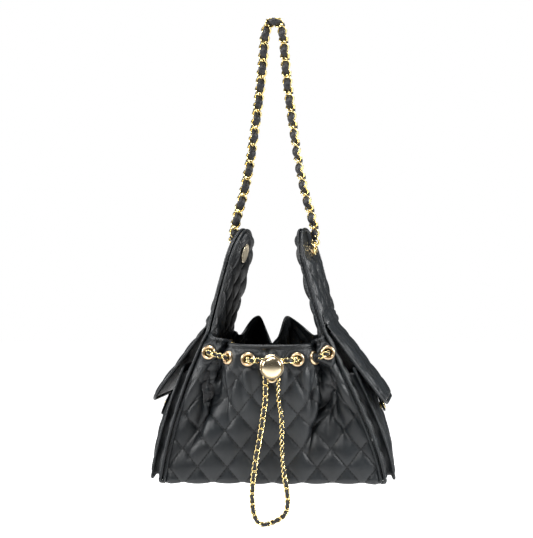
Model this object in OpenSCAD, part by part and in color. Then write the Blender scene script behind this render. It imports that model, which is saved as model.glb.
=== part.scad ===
// Quilted leather bucket bag, hung by its chain strap.
// The origin is the point that the strap hangs from. +Z is up, -Y is the front.

/* [Body] */
// Width of the base between its side seams
base_w = 268; // [220:1:325]
// Depth of the base between front and back
base_d = 150; // [120:1:185]
// Height of the body at the side seams
body_h = 178; // [150:1:215]
// Width of the gathered mouth
mouth_w = 144; // [120:1:174]
// Depth of the gathered mouth
mouth_d = 128; // [106:1:155]
// How far the front and back rims dip at their middle
rim_dip = 13; // [8:1:18]
// How far the mouth is turned on the base by the way the bag hangs
mouth_turn = 7; // [0:0.5:8]
// How far the belly stands out at mid height
belly = 8; // [4:1:10]

/* [Leather] */
// Thickness of a quilted panel
panel_t = 2.6; // [2:0.1:3.2]
// Thickness of the lining
lining_t = 1; // [0.8:0.1:1.4]
// Radius of the piping in the seams
piping_r = 2; // [1.5:0.1:2.4]
// Thickness of the base leather
base_t = 3; // [2:0.1:4]
// Thickness of the stiffening board in the base
board_t = 2.4; // [1.5:0.1:4]

/* [Horns] */
// Height of a horn above the side seams
horn_h = 124; // [105:1:150]
// Width of a horn at its round top
horn_w = 86; // [72:1:100]
// Distance between the outer faces of the horns at the posts
horn_span = 94; // [84:1:110]
// Thickness of the padded facing on the inside of a horn
facing_t = 5.4; // [4:0.1:7]
// Turn of the horns on the base
horn_turn = 13; // [0:0.5:14]

/* [Strap hardware] */
// Depth of the post below the top of its horn
post_drop = 25; // [22:1:30]
// Radius of the post
post_r = 2.2; // [1.8:0.1:2.6]
// Radius of the inner cap and the outer plate
plate_r = 12; // [10:0.5:14]
// Thickness of the inner cap and the outer plate
plate_t = 1.6; // [1.2:0.1:2.2]
// Wire radius of the strap rings
ring_wire = 1.5; // [1.2:0.1:1.8]
// Inner radius of the strap rings
ring_in = 6; // [5.5:0.1:8]

/* [Chains] */
// Height of the hanging point above the base
hang_h = 564; // [560:1:568]
// Mean radius of a strap link
link_r = 5.4; // [5:0.1:6]
// Wire radius of a strap link
link_wire = 1.05; // [0.9:0.05:1.15]
// Mean radius of a drawstring link
small_link_r = 2.9; // [2.7:0.1:3.1]
// Wire radius of a drawstring link
small_link_wire = 0.6; // [0.5:0.05:0.7]
// Radius of the lace in the strap
strap_lace_r = 1.9; // [1.5:0.1:2.4]
// Radius of the lace in the drawstring
lace_r = 1.3; // [1:0.1:1.6]

/* [Eyelets] */
// Hole radius of an eyelet
eyelet_r = 4.7; // [4.4:0.1:5.2]
// Width of the rounded ring of an eyelet
eyelet_ring = 3.7; // [3:0.1:4.4]
// How far below the rim the eyelets sit, as a share of the body height
eyelet_drop = 0.1; // [0.09:0.01:0.12]

/* [Slider] */
// Radius of the slider
slider_r = 14; // [13:0.5:16]
// Depth of the slider without its cap
slider_d = 14; // [13:0.5:16]
// Radius of the slider's domed cap
cap_r = 12; // [11:0.5:12.5]
// Radius of the two bores for the chain
slider_bore = 4; // [3.8:0.1:4.3]
// Height of the slider's middle above the base
slider_h = 141; // [138:1:143]

/* [Pockets] */
// Width of a side pocket
pocket_w = 108; // [90:1:122]
// Height of a side pocket
pocket_h = 128; // [106:1:134]
// Depth of a side pocket
pocket_d = 13; // [11:1:15]
// How far the filled face of a pocket bulges
pocket_bulge = 7; // [5:0.5:8]
// Height of the snap above the base
snap_h = 86; // [78:1:92]

/* [Flaps] */
// Width of a flap
flap_w = 112; // [95:1:120]
// Length of a flap
flap_l = 106; // [100:1:112]
// Thickness of a flap
flap_t = 3.4; // [2.6:0.1:4]
// How far a closed flap leans out from the vertical
flap_lean = 37.5; // [36:0.5:40]
// Corner radius of a flap
flap_corner = 22; // [15:1:30]
// Width of the closing tab
tab_w = 24; // [20:1:28]

/* [Hidden] */

leather = "#25282b";
gold = "#e0b45a";
pale_gold = "#d8c6a0";

seat = 0.3;                  // gap between pieces that lie on each other
round_sides = 48;            // facets of a preview circle
horn_top = body_h + horn_h;
post_h = horn_top - post_drop;
round_h = horn_top - horn_w / 2;              // centre of a horn's round top
horn_lean = atan((mouth_w - horn_span) / 2 / (post_h - body_h));
ring_gap = 3.8;              // from the plate's outer face to the plane of the ring

// ---- small helpers ----
function eased(s) = s <= 0 ? 0 : s >= 1 ? 1 : s * s * (3 - 2 * s);
function unit(v) = v / norm(v);
function mixed(a, b, s) = a + (b - a) * s;
function spun(p, a) = [p.x * cos(a) + p.y * sin(a), p.y * cos(a) - p.x * sin(a), p.z];

// Catmull-Rom curve through a list of points, place s runs from 0 to the last index
function curve_at(p, s) =
    let(n = len(p) - 1, i = min(floor(s), n - 1), f = s - i,
        a = p[max(i - 1, 0)], b = p[i], c = p[i + 1], d = p[min(i + 2, n)])
    0.5 * (2 * b + (c - a) * f + (2 * a - 5 * b + 4 * c - d) * f * f
        + (3 * b - a - 3 * c + d) * f * f * f);
function curved(p, per) = [for (i = [0:(len(p) - 1) * per]) curve_at(p, i / per)];

// ---- outline of the bag at a height above the base ----
function turn_at(h) = h < body_h
    ? mouth_turn * eased(h / body_h)
    : mixed(mouth_turn, horn_turn, min((h - body_h) / (post_h - 15 - body_h), 1));
function half_w(h) = h < body_h
    ? mixed(base_w, mouth_w, pow(max(h, 0) / body_h, 1.4)) / 2
    : mouth_w / 2 - (h - body_h) * tan(horn_lean);
function half_d(h) = h < body_h
    ? mixed(base_d, mouth_d, h / body_h) / 2
    : h < round_h
    ? mixed(mouth_d, horn_w, (h - body_h) / (round_h - body_h)) / 2
    : sqrt(max(pow(horn_w / 2, 2) - pow(h - round_h, 2), 0));
function turned(p) = spun(p, turn_at(p.z));

// ---- gathered front and back panels ----
// Each fold row is [share of the half width, distance in front of the corners]
front_folds = [
    [-1, 0], [-0.93, 13], [-0.77, 10], [-0.69, -12], [-0.66, 8], [-0.42, 21],
    [0.02, 25], [0.44, 21], [0.66, 8], [0.69, -12], [0.77, 10], [0.93, 13], [1, 0]
];
back_folds = [
    [-1, 0], [-0.9, 12], [-0.76, 12], [-0.66, -12], [-0.5, 10], [-0.2, 16],
    [0.02, -10], [0.24, 16], [0.52, 10], [0.68, -12], [0.78, 12], [0.92, 12], [1, 0]
];
fold_start = 0.25;           // share of the height where the folds begin
function rim_h(u) = body_h - rim_dip * (1 - u * u);
// side is -1 for the front and 1 for the back, u runs from -1 left to 1 right
function panel_point(folds, side, u, t) =
    let(f = curve_at(folds, (u + 1) / 2 * (len(folds) - 1)),
        h = t * rim_h(u),
        fade = eased((t - fold_start) / (1 - fold_start)),
        x = (half_w(h) - panel_t - seat) * mixed(u, f[0], fade),
        y = side * (half_d(h) + fade * f[1] + belly * sin(180 * t) * (1 - u * u)),
        p = [x, y, h])
    mixed(p, turned(p), pow(abs(u), 1.5));
function panel_normal(folds, side, u, t) =
    let(e = 0.004, a = min(max(u, e - 1), 1 - e), b = min(max(t, e), 1 - e))
    side * unit(cross(
        panel_point(folds, side, a, b + e) - panel_point(folds, side, a, b - e),
        panel_point(folds, side, a + e, b) - panel_point(folds, side, a - e, b)));
function panel_layer(folds, side, u, t, depth) =
    panel_point(folds, side, u, t) - panel_normal(folds, side, u, t) * depth;

// ---- swept and lofted solids ----
// Closed sheet between two grids of points with the same number of rows
module sheet(outer, inner) {
    rows = len(outer);
    cols = len(outer[0]);
    points = [for (g = [outer, inner], row = g, p = row) p];
    function at(g, r, c) = (g * rows + r) * cols + c;
    faces = [
        for (r = [0:rows - 2], c = [0:cols - 2]) each [
            [at(0, r, c), at(0, r + 1, c), at(0, r + 1, c + 1)],
            [at(0, r, c), at(0, r + 1, c + 1), at(0, r, c + 1)],
            [at(1, r, c), at(1, r + 1, c + 1), at(1, r + 1, c)],
            [at(1, r, c), at(1, r, c + 1), at(1, r + 1, c + 1)]
        ],
        for (r = [0:rows - 2]) each [
            [at(0, r, 0), at(1, r, 0), at(1, r + 1, 0)],
            [at(0, r, 0), at(1, r + 1, 0), at(0, r + 1, 0)],
            [at(0, r, cols - 1), at(1, r + 1, cols - 1), at(1, r, cols - 1)],
            [at(0, r, cols - 1), at(0, r + 1, cols - 1), at(1, r + 1, cols - 1)]
        ],
        for (c = [0:cols - 2]) each [
            [at(0, 0, c), at(0, 0, c + 1), at(1, 0, c + 1)],
            [at(0, 0, c), at(1, 0, c + 1), at(1, 0, c)],
            [at(0, rows - 1, c), at(1, rows - 1, c), at(1, rows - 1, c + 1)],
            [at(0, rows - 1, c), at(1, rows - 1, c + 1), at(0, rows - 1, c + 1)]
        ]
    ];
    polyhedron(points, faces);
}

// Round tube along a path, open with flat ends or closed into a loop
module tube(path, r, sides = 8, loop = false) {
    n = len(path);
    tangents = [for (i = [0:n - 1]) unit(
        path[loop ? (i + 1) % n : min(i + 1, n - 1)] - path[loop ? (i + n - 1) % n : max(i - 1, 0)])];
    first = abs(tangents[0].x) < 0.8 ? [1, 0, 0] : [0, 0, 1];
    normals = [
        for (i = 0, v = unit(first - tangents[0] * (first * tangents[0])); i < n;
            i = i + 1, v = i < n ? unit(v - tangents[i] * (v * tangents[i])) : v) v
    ];
    points = [for (i = [0:n - 1], k = [0:sides - 1])
        let(a = (k + 0.5) * 360 / sides, w = cross(tangents[i], normals[i]))
        path[i] + r * (normals[i] * cos(a) + w * sin(a))];
    function at(i, k) = (i % n) * sides + k % sides;
    last = loop ? n - 1 : n - 2;
    faces = [
        for (i = [0:last], k = [0:sides - 1]) each [
            [at(i, k), at(i + 1, k), at(i + 1, k + 1)],
            [at(i, k), at(i + 1, k + 1), at(i, k + 1)]
        ],
        if (!loop) [for (k = [0:sides - 1]) at(0, k)],
        if (!loop) [for (k = [sides - 1:-1:0]) at(n - 1, k)]
    ];
    polyhedron(points, faces);
}

function run_lengths(path) = [
    for (i = 0, s = 0; i < len(path);
        i = i + 1, s = s + (i < len(path) ? norm(path[i] - path[i - 1]) : 0)) s
];
// Point and direction at a distance along a path
function along(path, lengths, s) =
    let(i = min(max([for (k = [0:len(path) - 2]) if (lengths[k] <= s) k]), len(path) - 2),
        step = lengths[i + 1] - lengths[i])
    [mixed(path[i], path[i + 1], (s - lengths[i]) / step), unit(path[i + 1] - path[i])];

// Turns the Z axis of its children to a direction
module aim(v) {
    rotate([0, acos(v.z / norm(v)), atan2(v.y, v.x)]) children();
}

// Round links at a steady pitch, each turned a quarter from the last
module chain(path, r, wire, margin = 0) {
    lengths = run_lengths(path);
    total = lengths[len(path) - 1] - 2 * margin;
    count = round(total / (2 * (r - wire) - 0.5));
    for (i = [0:count]) {
        spot = along(path, lengths, margin + total * i / count);
        translate(spot[0]) aim(spot[1]) rotate([90, 0, i % 2 * 90 + 45])
            rotate_extrude($fn = round_sides) translate([r, 0]) circle(wire, $fn = 24);
    }
}

module on_bag() {
    translate([0, 0, -hang_h]) children();
}

// ---- front, back and sides ----
panel_cols = 36;
panel_rows = 11;

module gathered_panel(folds, side, eyelets) {
    function grid(depth) = [for (r = [0:panel_rows]) [for (c = [0:panel_cols])
        panel_layer(folds, side, side * (1 - 2 * c / panel_cols), r / panel_rows, depth)]];
    on_bag() difference() {
        sheet(grid(0), grid(panel_t));
        for (u = eyelets) at_eyelet(folds, side, u) eyelet_cut();
    }
}

module front_panel() {
    color(leather) gathered_panel(front_folds, -1, front_places);
}

module back_panel() {
    color(leather) gathered_panel(back_folds, 1, back_places);
}

top_angles = [10, 18, 33, 45, 57, 69, 79, 85];      // rows of the round top, clear of the post
body_rows = [for (i = [0:11]) body_h * i / 11];
horn_rows = [for (i = [1:4]) mixed(body_h, round_h, i / 4)];
top_rows = [for (a = top_angles) round_h + horn_w / 2 * sin(a)];
side_cols = 9;               // odd, so that the post is in the middle of a column

// side is -1 for the left and 1 for the right
module side_sheet(side, rows, outer, inner, inset) {
    function grid(depth) = [for (h = rows) [for (c = [0:side_cols])
        turned([side * (half_w(h) - depth), side * (2 * c / side_cols - 1) * (half_d(h) - inset), h])]];
    on_bag() sheet(grid(outer), grid(inner));
}

module side_panel(side) {
    color(leather) difference() {
        side_sheet(side, concat(body_rows, horn_rows, top_rows), 0, panel_t, 0);
        horn_bore(side);
    }
}

// The facing starts just above the corners of the mouth
module horn_facing(side) {
    color(leather) difference() {
        side_sheet(side, concat([body_h + 2], horn_rows, top_rows),
            panel_t + seat, panel_t + seat + facing_t, 1.5);
        horn_bore(side);
    }
}

// ---- base and lining ----
module base_plate(inset, bottom, thick) {
    w = 2 * (half_w(bottom + thick) - panel_t - seat - inset);
    d = base_d * 0.995 - 2 * (panel_t + seat + inset);
    r = 6;
    on_bag() translate([0, 0, bottom]) linear_extrude(thick) union() {
        square([w - 2 * r, d], center = true);
        square([w, d - 2 * r], center = true);
        for (x = [-1, 1], y = [-1, 1]) translate([x * (w / 2 - r), y * (d / 2 - r)])
            circle(r, $fn = round_sides);
    }
}

module base_panel() {
    color(leather) base_plate(0, 0, base_t);
}

module base_board() {
    color("#6b5a45") base_plate(1, base_t, board_t);
}

lining_rows = 9;             // rows of the panels that the lining reaches, just below the eyelets

module lining() {
    start = (base_t + board_t + 2 * seat) / body_h;
    hang = panel_t + 3 * seat;       // how far the lining hangs behind the panels' outer face
    rows = concat([start], [for (r = [1:lining_rows]) r / panel_rows]);
    function wall(folds, side, t, depth) = [for (c = [1:panel_cols - 1])
        panel_layer(folds, side, side * (1 - 2 * c / panel_cols), t, depth)];
    function ring(t, depth) = concat(wall(front_folds, -1, t, depth), wall(back_folds, 1, t, depth));
    outer = [for (t = rows) ring(t, hang)];
    inner = [for (t = rows) ring(t, hang + lining_t)];
    n = len(outer[0]);
    points = [for (g = [outer, inner], row = g, p = row) p];
    function at(g, r, c) = (g * (lining_rows + 1) + r) * n + c % n;
    faces = [
        for (r = [0:lining_rows - 1], c = [0:n - 1]) each [
            [at(0, r, c), at(0, r + 1, c), at(0, r + 1, c + 1)],
            [at(0, r, c), at(0, r + 1, c + 1), at(0, r, c + 1)],
            [at(1, r, c), at(1, r + 1, c + 1), at(1, r + 1, c)],
            [at(1, r, c), at(1, r, c + 1), at(1, r + 1, c + 1)]
        ],
        for (c = [0:n - 1]) each [
            [at(0, 0, c), at(0, 0, c + 1), at(1, 0, c + 1)],
            [at(0, 0, c), at(1, 0, c + 1), at(1, 0, c)],
            [at(0, lining_rows, c), at(1, lining_rows, c), at(1, lining_rows, c + 1)],
            [at(0, lining_rows, c), at(1, lining_rows, c + 1), at(0, lining_rows, c + 1)]
        ]
    ];
    color("#17181a") on_bag() polyhedron(points, faces);
}

// ---- piping along the side seams and over the horns ----
edge_gap = seat + piping_r;
function seam_point(side, end, h) = turned([side * (half_w(h) - 0.3), end * (half_d(h) + edge_gap), h]);
function top_point(side, a) =
    let(h = round_h + (horn_w / 2 + edge_gap) * sin(a))
    turned([side * (half_w(h) - 0.3), (horn_w / 2 + edge_gap) * cos(a), h]);
seam_rows = concat([for (i = [0:10]) body_h * i / 10 + (i == 0 ? piping_r : 0)], horn_rows);

module piping(side) {
    color(leather) on_bag() tube(concat(
        [for (h = seam_rows) seam_point(side, -1, h)],
        [for (i = [1:11]) top_point(side, 180 - i * 15)],
        [for (i = [len(seam_rows) - 1:-1:0]) seam_point(side, 1, seam_rows[i])]), piping_r);
}

// ---- eyelets ----
eyelet_wall = 1.1;           // wall of the barrel
front_places = [-0.78, -0.31, -0.135, 0.135, 0.31, 0.82];
back_places = [-0.76, -0.3, -0.17, 0.2, 0.33, 0.76];
module at_eyelet(folds, side, u) {
    t = 1 - eyelet_drop;
    p = panel_layer(folds, side, u, t, panel_t / 2);
    translate(p) aim(panel_normal(folds, side, u, t)) children();
}

eyelet_front = panel_t / 2 + 0.15;      // underside of the ring, from the middle of the leather
eyelet_back = panel_t / 2 + 0.6;        // face of the washer, likewise
washer_w = 2.2;

// A rounded ring in front, a barrel through the leather and a washer behind
module eyelet() {
    rounding = 1.1;
    outer = eyelet_r + eyelet_ring;
    rotate_extrude($fn = round_sides) union() {
        translate([eyelet_r, -eyelet_back]) square([eyelet_wall, eyelet_front + eyelet_back + 2 * rounding]);
        translate([eyelet_r + rounding, eyelet_front]) square([eyelet_ring - 2 * rounding, 2 * rounding]);
        translate([outer - rounding, eyelet_front + rounding]) circle(rounding, $fn = 24);
        translate([eyelet_r, -eyelet_back - 0.8]) square([washer_w, 0.8]);
    }
}

// Room for an eyelet: its barrel's hole, and the leather pressed flat under its ring and washer
module eyelet_cut() {
    room = 8;
    cylinder(h = 2 * room, r = eyelet_r + eyelet_wall + 0.1, center = true, $fn = round_sides);
    translate([0, 0, eyelet_front - 0.1])
        cylinder(h = room, r = eyelet_r + eyelet_ring + 0.2, $fn = round_sides);
    translate([0, 0, 0.1 - eyelet_back - room])
        cylinder(h = room, r = eyelet_r + washer_w + 0.2, $fn = round_sides);
}

module eyelets(folds, side, places) {
    color(gold) on_bag() for (u = places) at_eyelet(folds, side, u) eyelet();
}

// ---- strap hardware on the horns ----
// Frame of the post: the origin is where the ring hangs, +Z points away from the bag
post_x = half_w(post_h) + (plate_t + seat + ring_gap) * cos(horn_lean);
post_z = post_h + (plate_t + seat + ring_gap) * sin(horn_lean);
ring_seat = ring_in - post_r - 0.8;     // how far the ring's centre lies above the post
module at_post(side) {
    on_bag() rotate([0, 0, -horn_turn]) translate([side * post_x, 0, post_z])
        rotate([0, side * (90 - horn_lean), 0]) children();
}
module horn_bore(side) {
    at_post(side) translate([0, 0, -30]) cylinder(h = 32, r = post_r + 0.1, $fn = round_sides);
}
horn_depth = (panel_t + seat + facing_t) * cos(horn_lean);

module horn_post(side) {
    head_gap = ring_wire + 0.9;
    shank = ring_gap + plate_t + seat + horn_depth + 0.5;
    color(pale_gold) at_post(side) union() {
        translate([0, 0, -ring_gap - plate_t]) cylinder(h = plate_t, r = plate_r * 0.6, $fn = round_sides);
        translate([0, 0, -shank]) cylinder(h = shank + head_gap, r = post_r, $fn = round_sides);
        translate([0, 0, head_gap]) cylinder(h = 1.2, r = post_r + 1.6, $fn = round_sides);
    }
}

module horn_cap(side) {
    start = ring_gap + plate_t + seat + horn_depth + 0.9;
    color(pale_gold) at_post(side) translate([0, 0, -start - plate_t]) difference() {
        cylinder(h = plate_t, r = plate_r, $fn = round_sides);
        translate([0, 0, 0.8]) cylinder(h = plate_t, r = post_r + 0.1, $fn = round_sides);
    }
}

module strap_ring(side) {
    color(gold) on_bag() rotate([0, 0, -horn_turn])
        translate([side * post_x, 0, post_z + ring_seat]) rotate([0, 90, 0])
        rotate_extrude($fn = round_sides) translate([ring_in + ring_wire, 0]) circle(ring_wire, $fn = 24);
}

// ---- strap ----
// Right half of the strap in its own plane, from the ring to the hanging point
strap_route = [
    [52.5, 0, -273.2], [50, 0, -261], [46.5, 0, -247], [42.5, 0, -230], [38.5, 0, -212],
    [34, 0, -190], [29.5, 0, -165], [25.5, 0, -138], [21.5, 0, -110], [18, 0, -82],
    [15, 0, -55], [13, 0, -30], [11, 0, -14], [7, 0, -3], [0, 0, 0.5]
];
strap_line = let(half = curved(strap_route, 3), n = len(half)) [
    for (p = half) spun(p, horn_turn),
    for (i = [n - 2:-1:0]) spun([-half[i].x, half[i].y, half[i].z], horn_turn)
];

module strap_links() {
    color(gold) chain(strap_line, link_r, link_wire);
}

module strap_lace() {
    color(leather) tube(strap_line, strap_lace_r);
}

// ---- drawstring ----
// From the left front eyelet through the slider, down and round to the right eyelet
tail_y = -103;
tail_route = [
    [-28.5, -96.3, -415], [-26.5, -101, -415.5], [-20, -103, -416], [-14, -103, -415.5],
    [-9.5, -103, -417.5], [-7.5, -103, -424], [-7.5, -103, -440], [-7.5, -103, -459],
    [-9.5, -103, -475], [-12, -103, -492], [-14.5, -103, -508], [-17.5, -103, -524],
    [-20.5, -103, -543], [-22.5, -103, -562], [-23, -103, -578], [-21, -103, -594],
    [-17, -103, -602.5], [-11, -103, -606.5], [-3.5, -103, -605.5], [4, -103, -602.5],
    [11, -103, -598.5], [16.5, -103, -592], [18.5, -103, -580], [17, -103, -564],
    [14, -103, -547], [12, -103, -528], [11.5, -103, -508], [11.5, -103, -490],
    [10, -103, -474], [7.5, -103, -459], [7.5, -103, -440], [7.5, -103, -424],
    [9.5, -103, -417.5], [14, -103, -415.5], [20, -103, -416], [26.5, -101, -415.5],
    [29, -96.3, -415]
];
tail_line = curved(tail_route, 2);

module tail_lace() {
    color(leather) tube(tail_line, lace_r);
}

module tail_links() {
    color(gold) chain(tail_line, small_link_r, small_link_wire, small_link_r + small_link_wire + 0.5);
}

// ---- slider ----
slider_z = slider_h - hang_h;
module at_slider() {
    translate([0, tail_y, slider_z]) rotate([90, 0, 0]) children();
}

// The lower part of the drum guides the chain, the upper part is open for its bends
module slider_guide() {
    color(pale_gold) difference() {
        at_slider() intersection() {
            cylinder(h = slider_d, r = slider_r, center = true, $fn = 96);
            translate([-slider_r, -slider_r, -slider_d]) cube([2 * slider_r, slider_r - 3, 2 * slider_d]);
        }
        for (x = [-7.5, 7.5]) translate([x, tail_y, slider_z])
            cylinder(h = 4 * slider_r, r = slider_bore, center = true, $fn = round_sides);
    }
}

module slider_cap() {
    color(pale_gold) at_slider() translate([0, 0, slider_d / 2]) rotate_extrude($fn = 96) intersection() {
        dome = 30;
        translate([0, 4 - dome]) circle(dome, $fn = 180);
        square([cap_r, 10]);
    }
}

module slider_back() {
    color(pale_gold) at_slider() translate([0, 0, -slider_d / 2 - 1.5])
        cylinder(h = 1.5, r = slider_r, $fn = 96);
}

// ---- pockets ----
pocket_base = 6;             // height of a pocket's lower edge
pocket_rows = 8;
pocket_cols = 8;
pocket_t = 2.4;
pocket_gusset_t = 1.6;
function pocket_h_at(s) = mixed(pocket_base, pocket_base + pocket_h, s);
function pocket_x(h, y = pocket_w / 2) = half_w(h) + pocket_d
    + pocket_bulge * (1 - pow(2 * y / pocket_w, 2)) * sin(180 * (h - pocket_base) / pocket_h);

module pocket_face(side) {
    function grid(depth) = [for (r = [0:pocket_rows]) [for (c = [0:pocket_cols])
        let(h = pocket_h_at(r / pocket_rows), y = (c / pocket_cols - 0.5) * pocket_w)
        turned([side * (pocket_x(h, y) - depth), side * y, h])]];
    color(leather) on_bag() sheet(grid(0), grid(pocket_t));
}

// A strip down the front, along the bottom and up the back, between the side and the face
module pocket_gusset(side) {
    w = pocket_w / 2 - 1;
    low = pocket_base + 1;
    high = pocket_base + pocket_h - 3;
    path = concat(
        [for (i = [0:6]) [-1, mixed(high, low, i / 6)]],
        [for (i = [1:5]) [i / 3 - 1, low]],
        [for (i = [0:6]) [1, mixed(low, high, i / 6)]]);
    function strip(depth) = [for (q = path)
        let(y = q[0] * (w - depth), h = q[1] + depth)
        [turned([side * (pocket_x(h) - pocket_t - seat), side * y, h]),
            turned([side * (half_w(h) + seat), side * y, h])]];
    color(leather) on_bag() sheet(strip(0), strip(pocket_gusset_t));
}

module pocket_piping(side) {
    w = pocket_w / 2;
    out = w + edge_gap;
    diagonal = edge_gap * 0.71;
    low = pocket_base;
    high = pocket_base + pocket_h;
    function spot(y, h) = turned([side * (pocket_x(h) - pocket_t / 2), y, h]);
    color(leather) on_bag() tube(concat(
        [for (i = [0:7]) spot(-out, mixed(low, high, i / 7))],
        [spot(-w - diagonal, high + diagonal)],
        [for (i = [0:5]) spot(mixed(-w, w, i / 5), high + edge_gap)],
        [spot(w + diagonal, high + diagonal)],
        [for (i = [0:7]) spot(out, mixed(high, low, i / 7))],
        [spot(w + diagonal, low - diagonal)],
        [for (i = [0:5]) spot(mixed(w, -w, i / 5), low - edge_gap)],
        [spot(-w - diagonal, low - diagonal)]), piping_r, loop = true);
}

// Frame of the snap: the origin is on the pocket's face, +Z points out of it
snap_lean = atan((pocket_x(snap_h - 1, 0) - pocket_x(snap_h + 1, 0)) / 2);
module at_snap(side) {
    on_bag() rotate([0, 0, -turn_at(snap_h)]) translate([side * pocket_x(snap_h, 0), 0, snap_h])
        rotate([0, side * (90 - snap_lean), 0]) children();
}
snap_r = 5;
snap_t = 0.8;
tab_t = 2.4;
tab_lift = 2.4;              // from the pocket's face to the inside of the tab

module snap_socket(side) {
    color(gold) at_snap(side) translate([0, 0, seat]) cylinder(h = snap_t, r = snap_r, $fn = round_sides);
}

module snap_stud(side) {
    color(gold) at_snap(side) translate([0, 0, tab_lift - 0.1 - snap_t])
        cylinder(h = snap_t, r = snap_r - 0.6, $fn = round_sides);
}

// ---- flaps ----
hinge_h = body_h + 3;
root_t = 3.4;                // thickness of the sewn root above the flap
hinge_x = half_w(hinge_h) + seat + root_t + piping_r;
module at_hinge(side) {
    on_bag() rotate([0, 0, -turn_at(hinge_h)]) translate([side * hinge_x, 0, hinge_h])
        rotate([0, side * (90 - flap_lean), 0]) rotate([0, 0, side > 0 ? 0 : 180]) children();
}

// The root is sewn to the side under an arched seam and ends just above the hinge
module flap_root(side) {
    w = flap_w / 2;
    rise = 20;
    cols = 12;
    function row(s, depth) = [for (c = [0:cols])
        let(y = (2 * c / cols - 1) * w, arch = 6 + rise * sqrt(max(1 - pow(y / w, 2), 0)),
            h = hinge_h + flap_t / 2 + seat + s * arch)
        turned([side * (half_w(h) + seat + depth), side * y, h])];
    color(leather) on_bag() sheet([for (s = [0, 0.35, 0.7, 1]) row(s, root_t)],
        [for (s = [0, 0.35, 0.7, 1]) row(s, 0)]);
}

// In the hinge's frame the flap runs along +X with its outer face up
module flap_panel(side) {
    w = flap_w / 2;
    color(leather) at_hinge(side) union() {
        linear_extrude(flap_t, center = true) union() {
            translate([0, -w]) square([flap_l - flap_corner, flap_w]);
            translate([0, -w + flap_corner]) square([flap_l, flap_w - 2 * flap_corner]);
            for (y = [-1, 1]) translate([flap_l - flap_corner, y * (w - flap_corner)])
                circle(flap_corner, $fn = round_sides);
        }
        translate([0, -w, 0]) rotate([-90, 0, 0]) cylinder(h = flap_w, r = flap_t / 2, $fn = round_sides);
    }
}

module flap_piping(side) {
    w = flap_w / 2 + edge_gap;
    r = flap_corner + edge_gap;
    color(leather) at_hinge(side) tube(concat(
        [for (i = [0:3]) [(flap_l - flap_corner) * i / 4, -w, 0]],
        [for (i = [0:6]) [flap_l - flap_corner + r * sin(i * 15), -w + r * (1 - cos(i * 15)), 0]],
        [for (i = [6:-1:0]) [flap_l - flap_corner + r * sin(i * 15), w - r * (1 - cos(i * 15)), 0]],
        [for (i = [3:-1:0]) [(flap_l - flap_corner) * i / 4, w, 0]]), piping_r);
}

module flap_tab(side) {
    low = -9;
    high = 26;
    color(leather) at_snap(side) translate([0, 0, tab_lift]) linear_extrude(tab_t) union() {
        translate([-high, -tab_w / 2]) square([high - low - tab_w / 2, tab_w]);
        translate([-low - tab_w / 2, 0]) circle(tab_w / 2, $fn = round_sides);
    }
}

module tab_plate(side) {
    color(gold) at_snap(side) translate([0, 0, tab_lift + tab_t + 0.1])
        cylinder(h = 1.4, r = 6.5, $fn = round_sides);
}

// In at the left front eyelet, out and in round the back, and out at the right front eyelet
rim_route = [
    [-28.8, -95.4, -415], [-28.3, -88, -415.4], [-27, -81, -416], [-32, -74, -417], [-40, -70.5, -417],
    [-46, -70.6, -416], [-51.9, -75.8, -414.6], [-57.8, -81.5, -413], [-66, -85, -410.5],
    [-76, -82, -407.5], [-75.7, -72.3, -408.5], [-73.7, -64, -409.5], [-70.5, -50, -410.5],
    [-67, -28, -411.5], [-63, 0, -412], [-60, 28, -412], [-58.5, 52, -411], [-59.7, 74, -409.5],
    [-60.2, 83.4, -408.8], [-58, 92, -408.5], [-49, 94, -410], [-41, 91.5, -412], [-37.5, 86, -413.3],
    [-34.2, 79.6, -414.7], [-30.5, 72.5, -416], [-25.5, 70.5, -416.5], [-20.5, 74.5, -416],
    [-16.7, 82.5, -415.3], [-12.5, 91, -414.5], [2, 95, -414], [18, 95, -414], [24.7, 91, -414.3],
    [24.8, 82.9, -415.2], [26, 74.5, -416], [31.5, 69, -416.5], [37.8, 69.5, -416], [42.6, 75.7, -414.5],
    [47.5, 82.5, -413], [58, 88, -410.5], [70, 87, -408], [76.8, 81, -407.6], [73.7, 73.1, -409],
    [70.5, 64, -410.3], [67.5, 45, -411.5], [64.5, 20, -412], [61, -10, -412], [59.5, -35, -411.5],
    [61, -58, -410], [63.6, -75.7, -408.8], [65.2, -83.5, -407.8], [65.5, -91, -407.5],
    [58, -92.5, -410.5], [54.5, -84.5, -413], [48.9, -77.9, -414.6], [42.8, -73, -416.1],
    [36, -72, -417], [29, -76, -416.8], [27.8, -81, -416], [29.2, -88.5, -415.4], [29.6, -95.4, -415]
];

module rim_lace() {
    color(leather) tube(curved(rim_route, 2), lace_r);
}

strap_links();
strap_lace();
strap_ring(-1);  // left_strap_ring
strap_ring(1);  // right_strap_ring
front_panel();
back_panel();
side_panel(-1);  // left_side_panel
side_panel(1);  // right_side_panel
horn_facing(-1);  // left_horn_facing
horn_facing(1);  // right_horn_facing
base_panel();
base_board();
lining();
piping(-1);  // left_piping
piping(1);  // right_piping
eyelets(front_folds, -1, front_places);  // front_eyelets
eyelets(back_folds, 1, back_places);  // back_eyelets
horn_post(-1);  // left_horn_post
horn_post(1);  // right_horn_post
horn_cap(-1);  // left_horn_cap
horn_cap(1);  // right_horn_cap
pocket_face(-1);  // left_pocket_face
pocket_face(1);  // right_pocket_face
pocket_gusset(-1);  // left_pocket_gusset
pocket_gusset(1);  // right_pocket_gusset
pocket_piping(-1);  // left_pocket_piping
pocket_piping(1);  // right_pocket_piping
snap_socket(-1);  // left_snap_socket
snap_socket(1);  // right_snap_socket
rim_lace();
flap_root(-1);  // left_flap_root
flap_root(1);  // right_flap_root
flap_panel(-1);  // left_flap_panel
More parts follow.
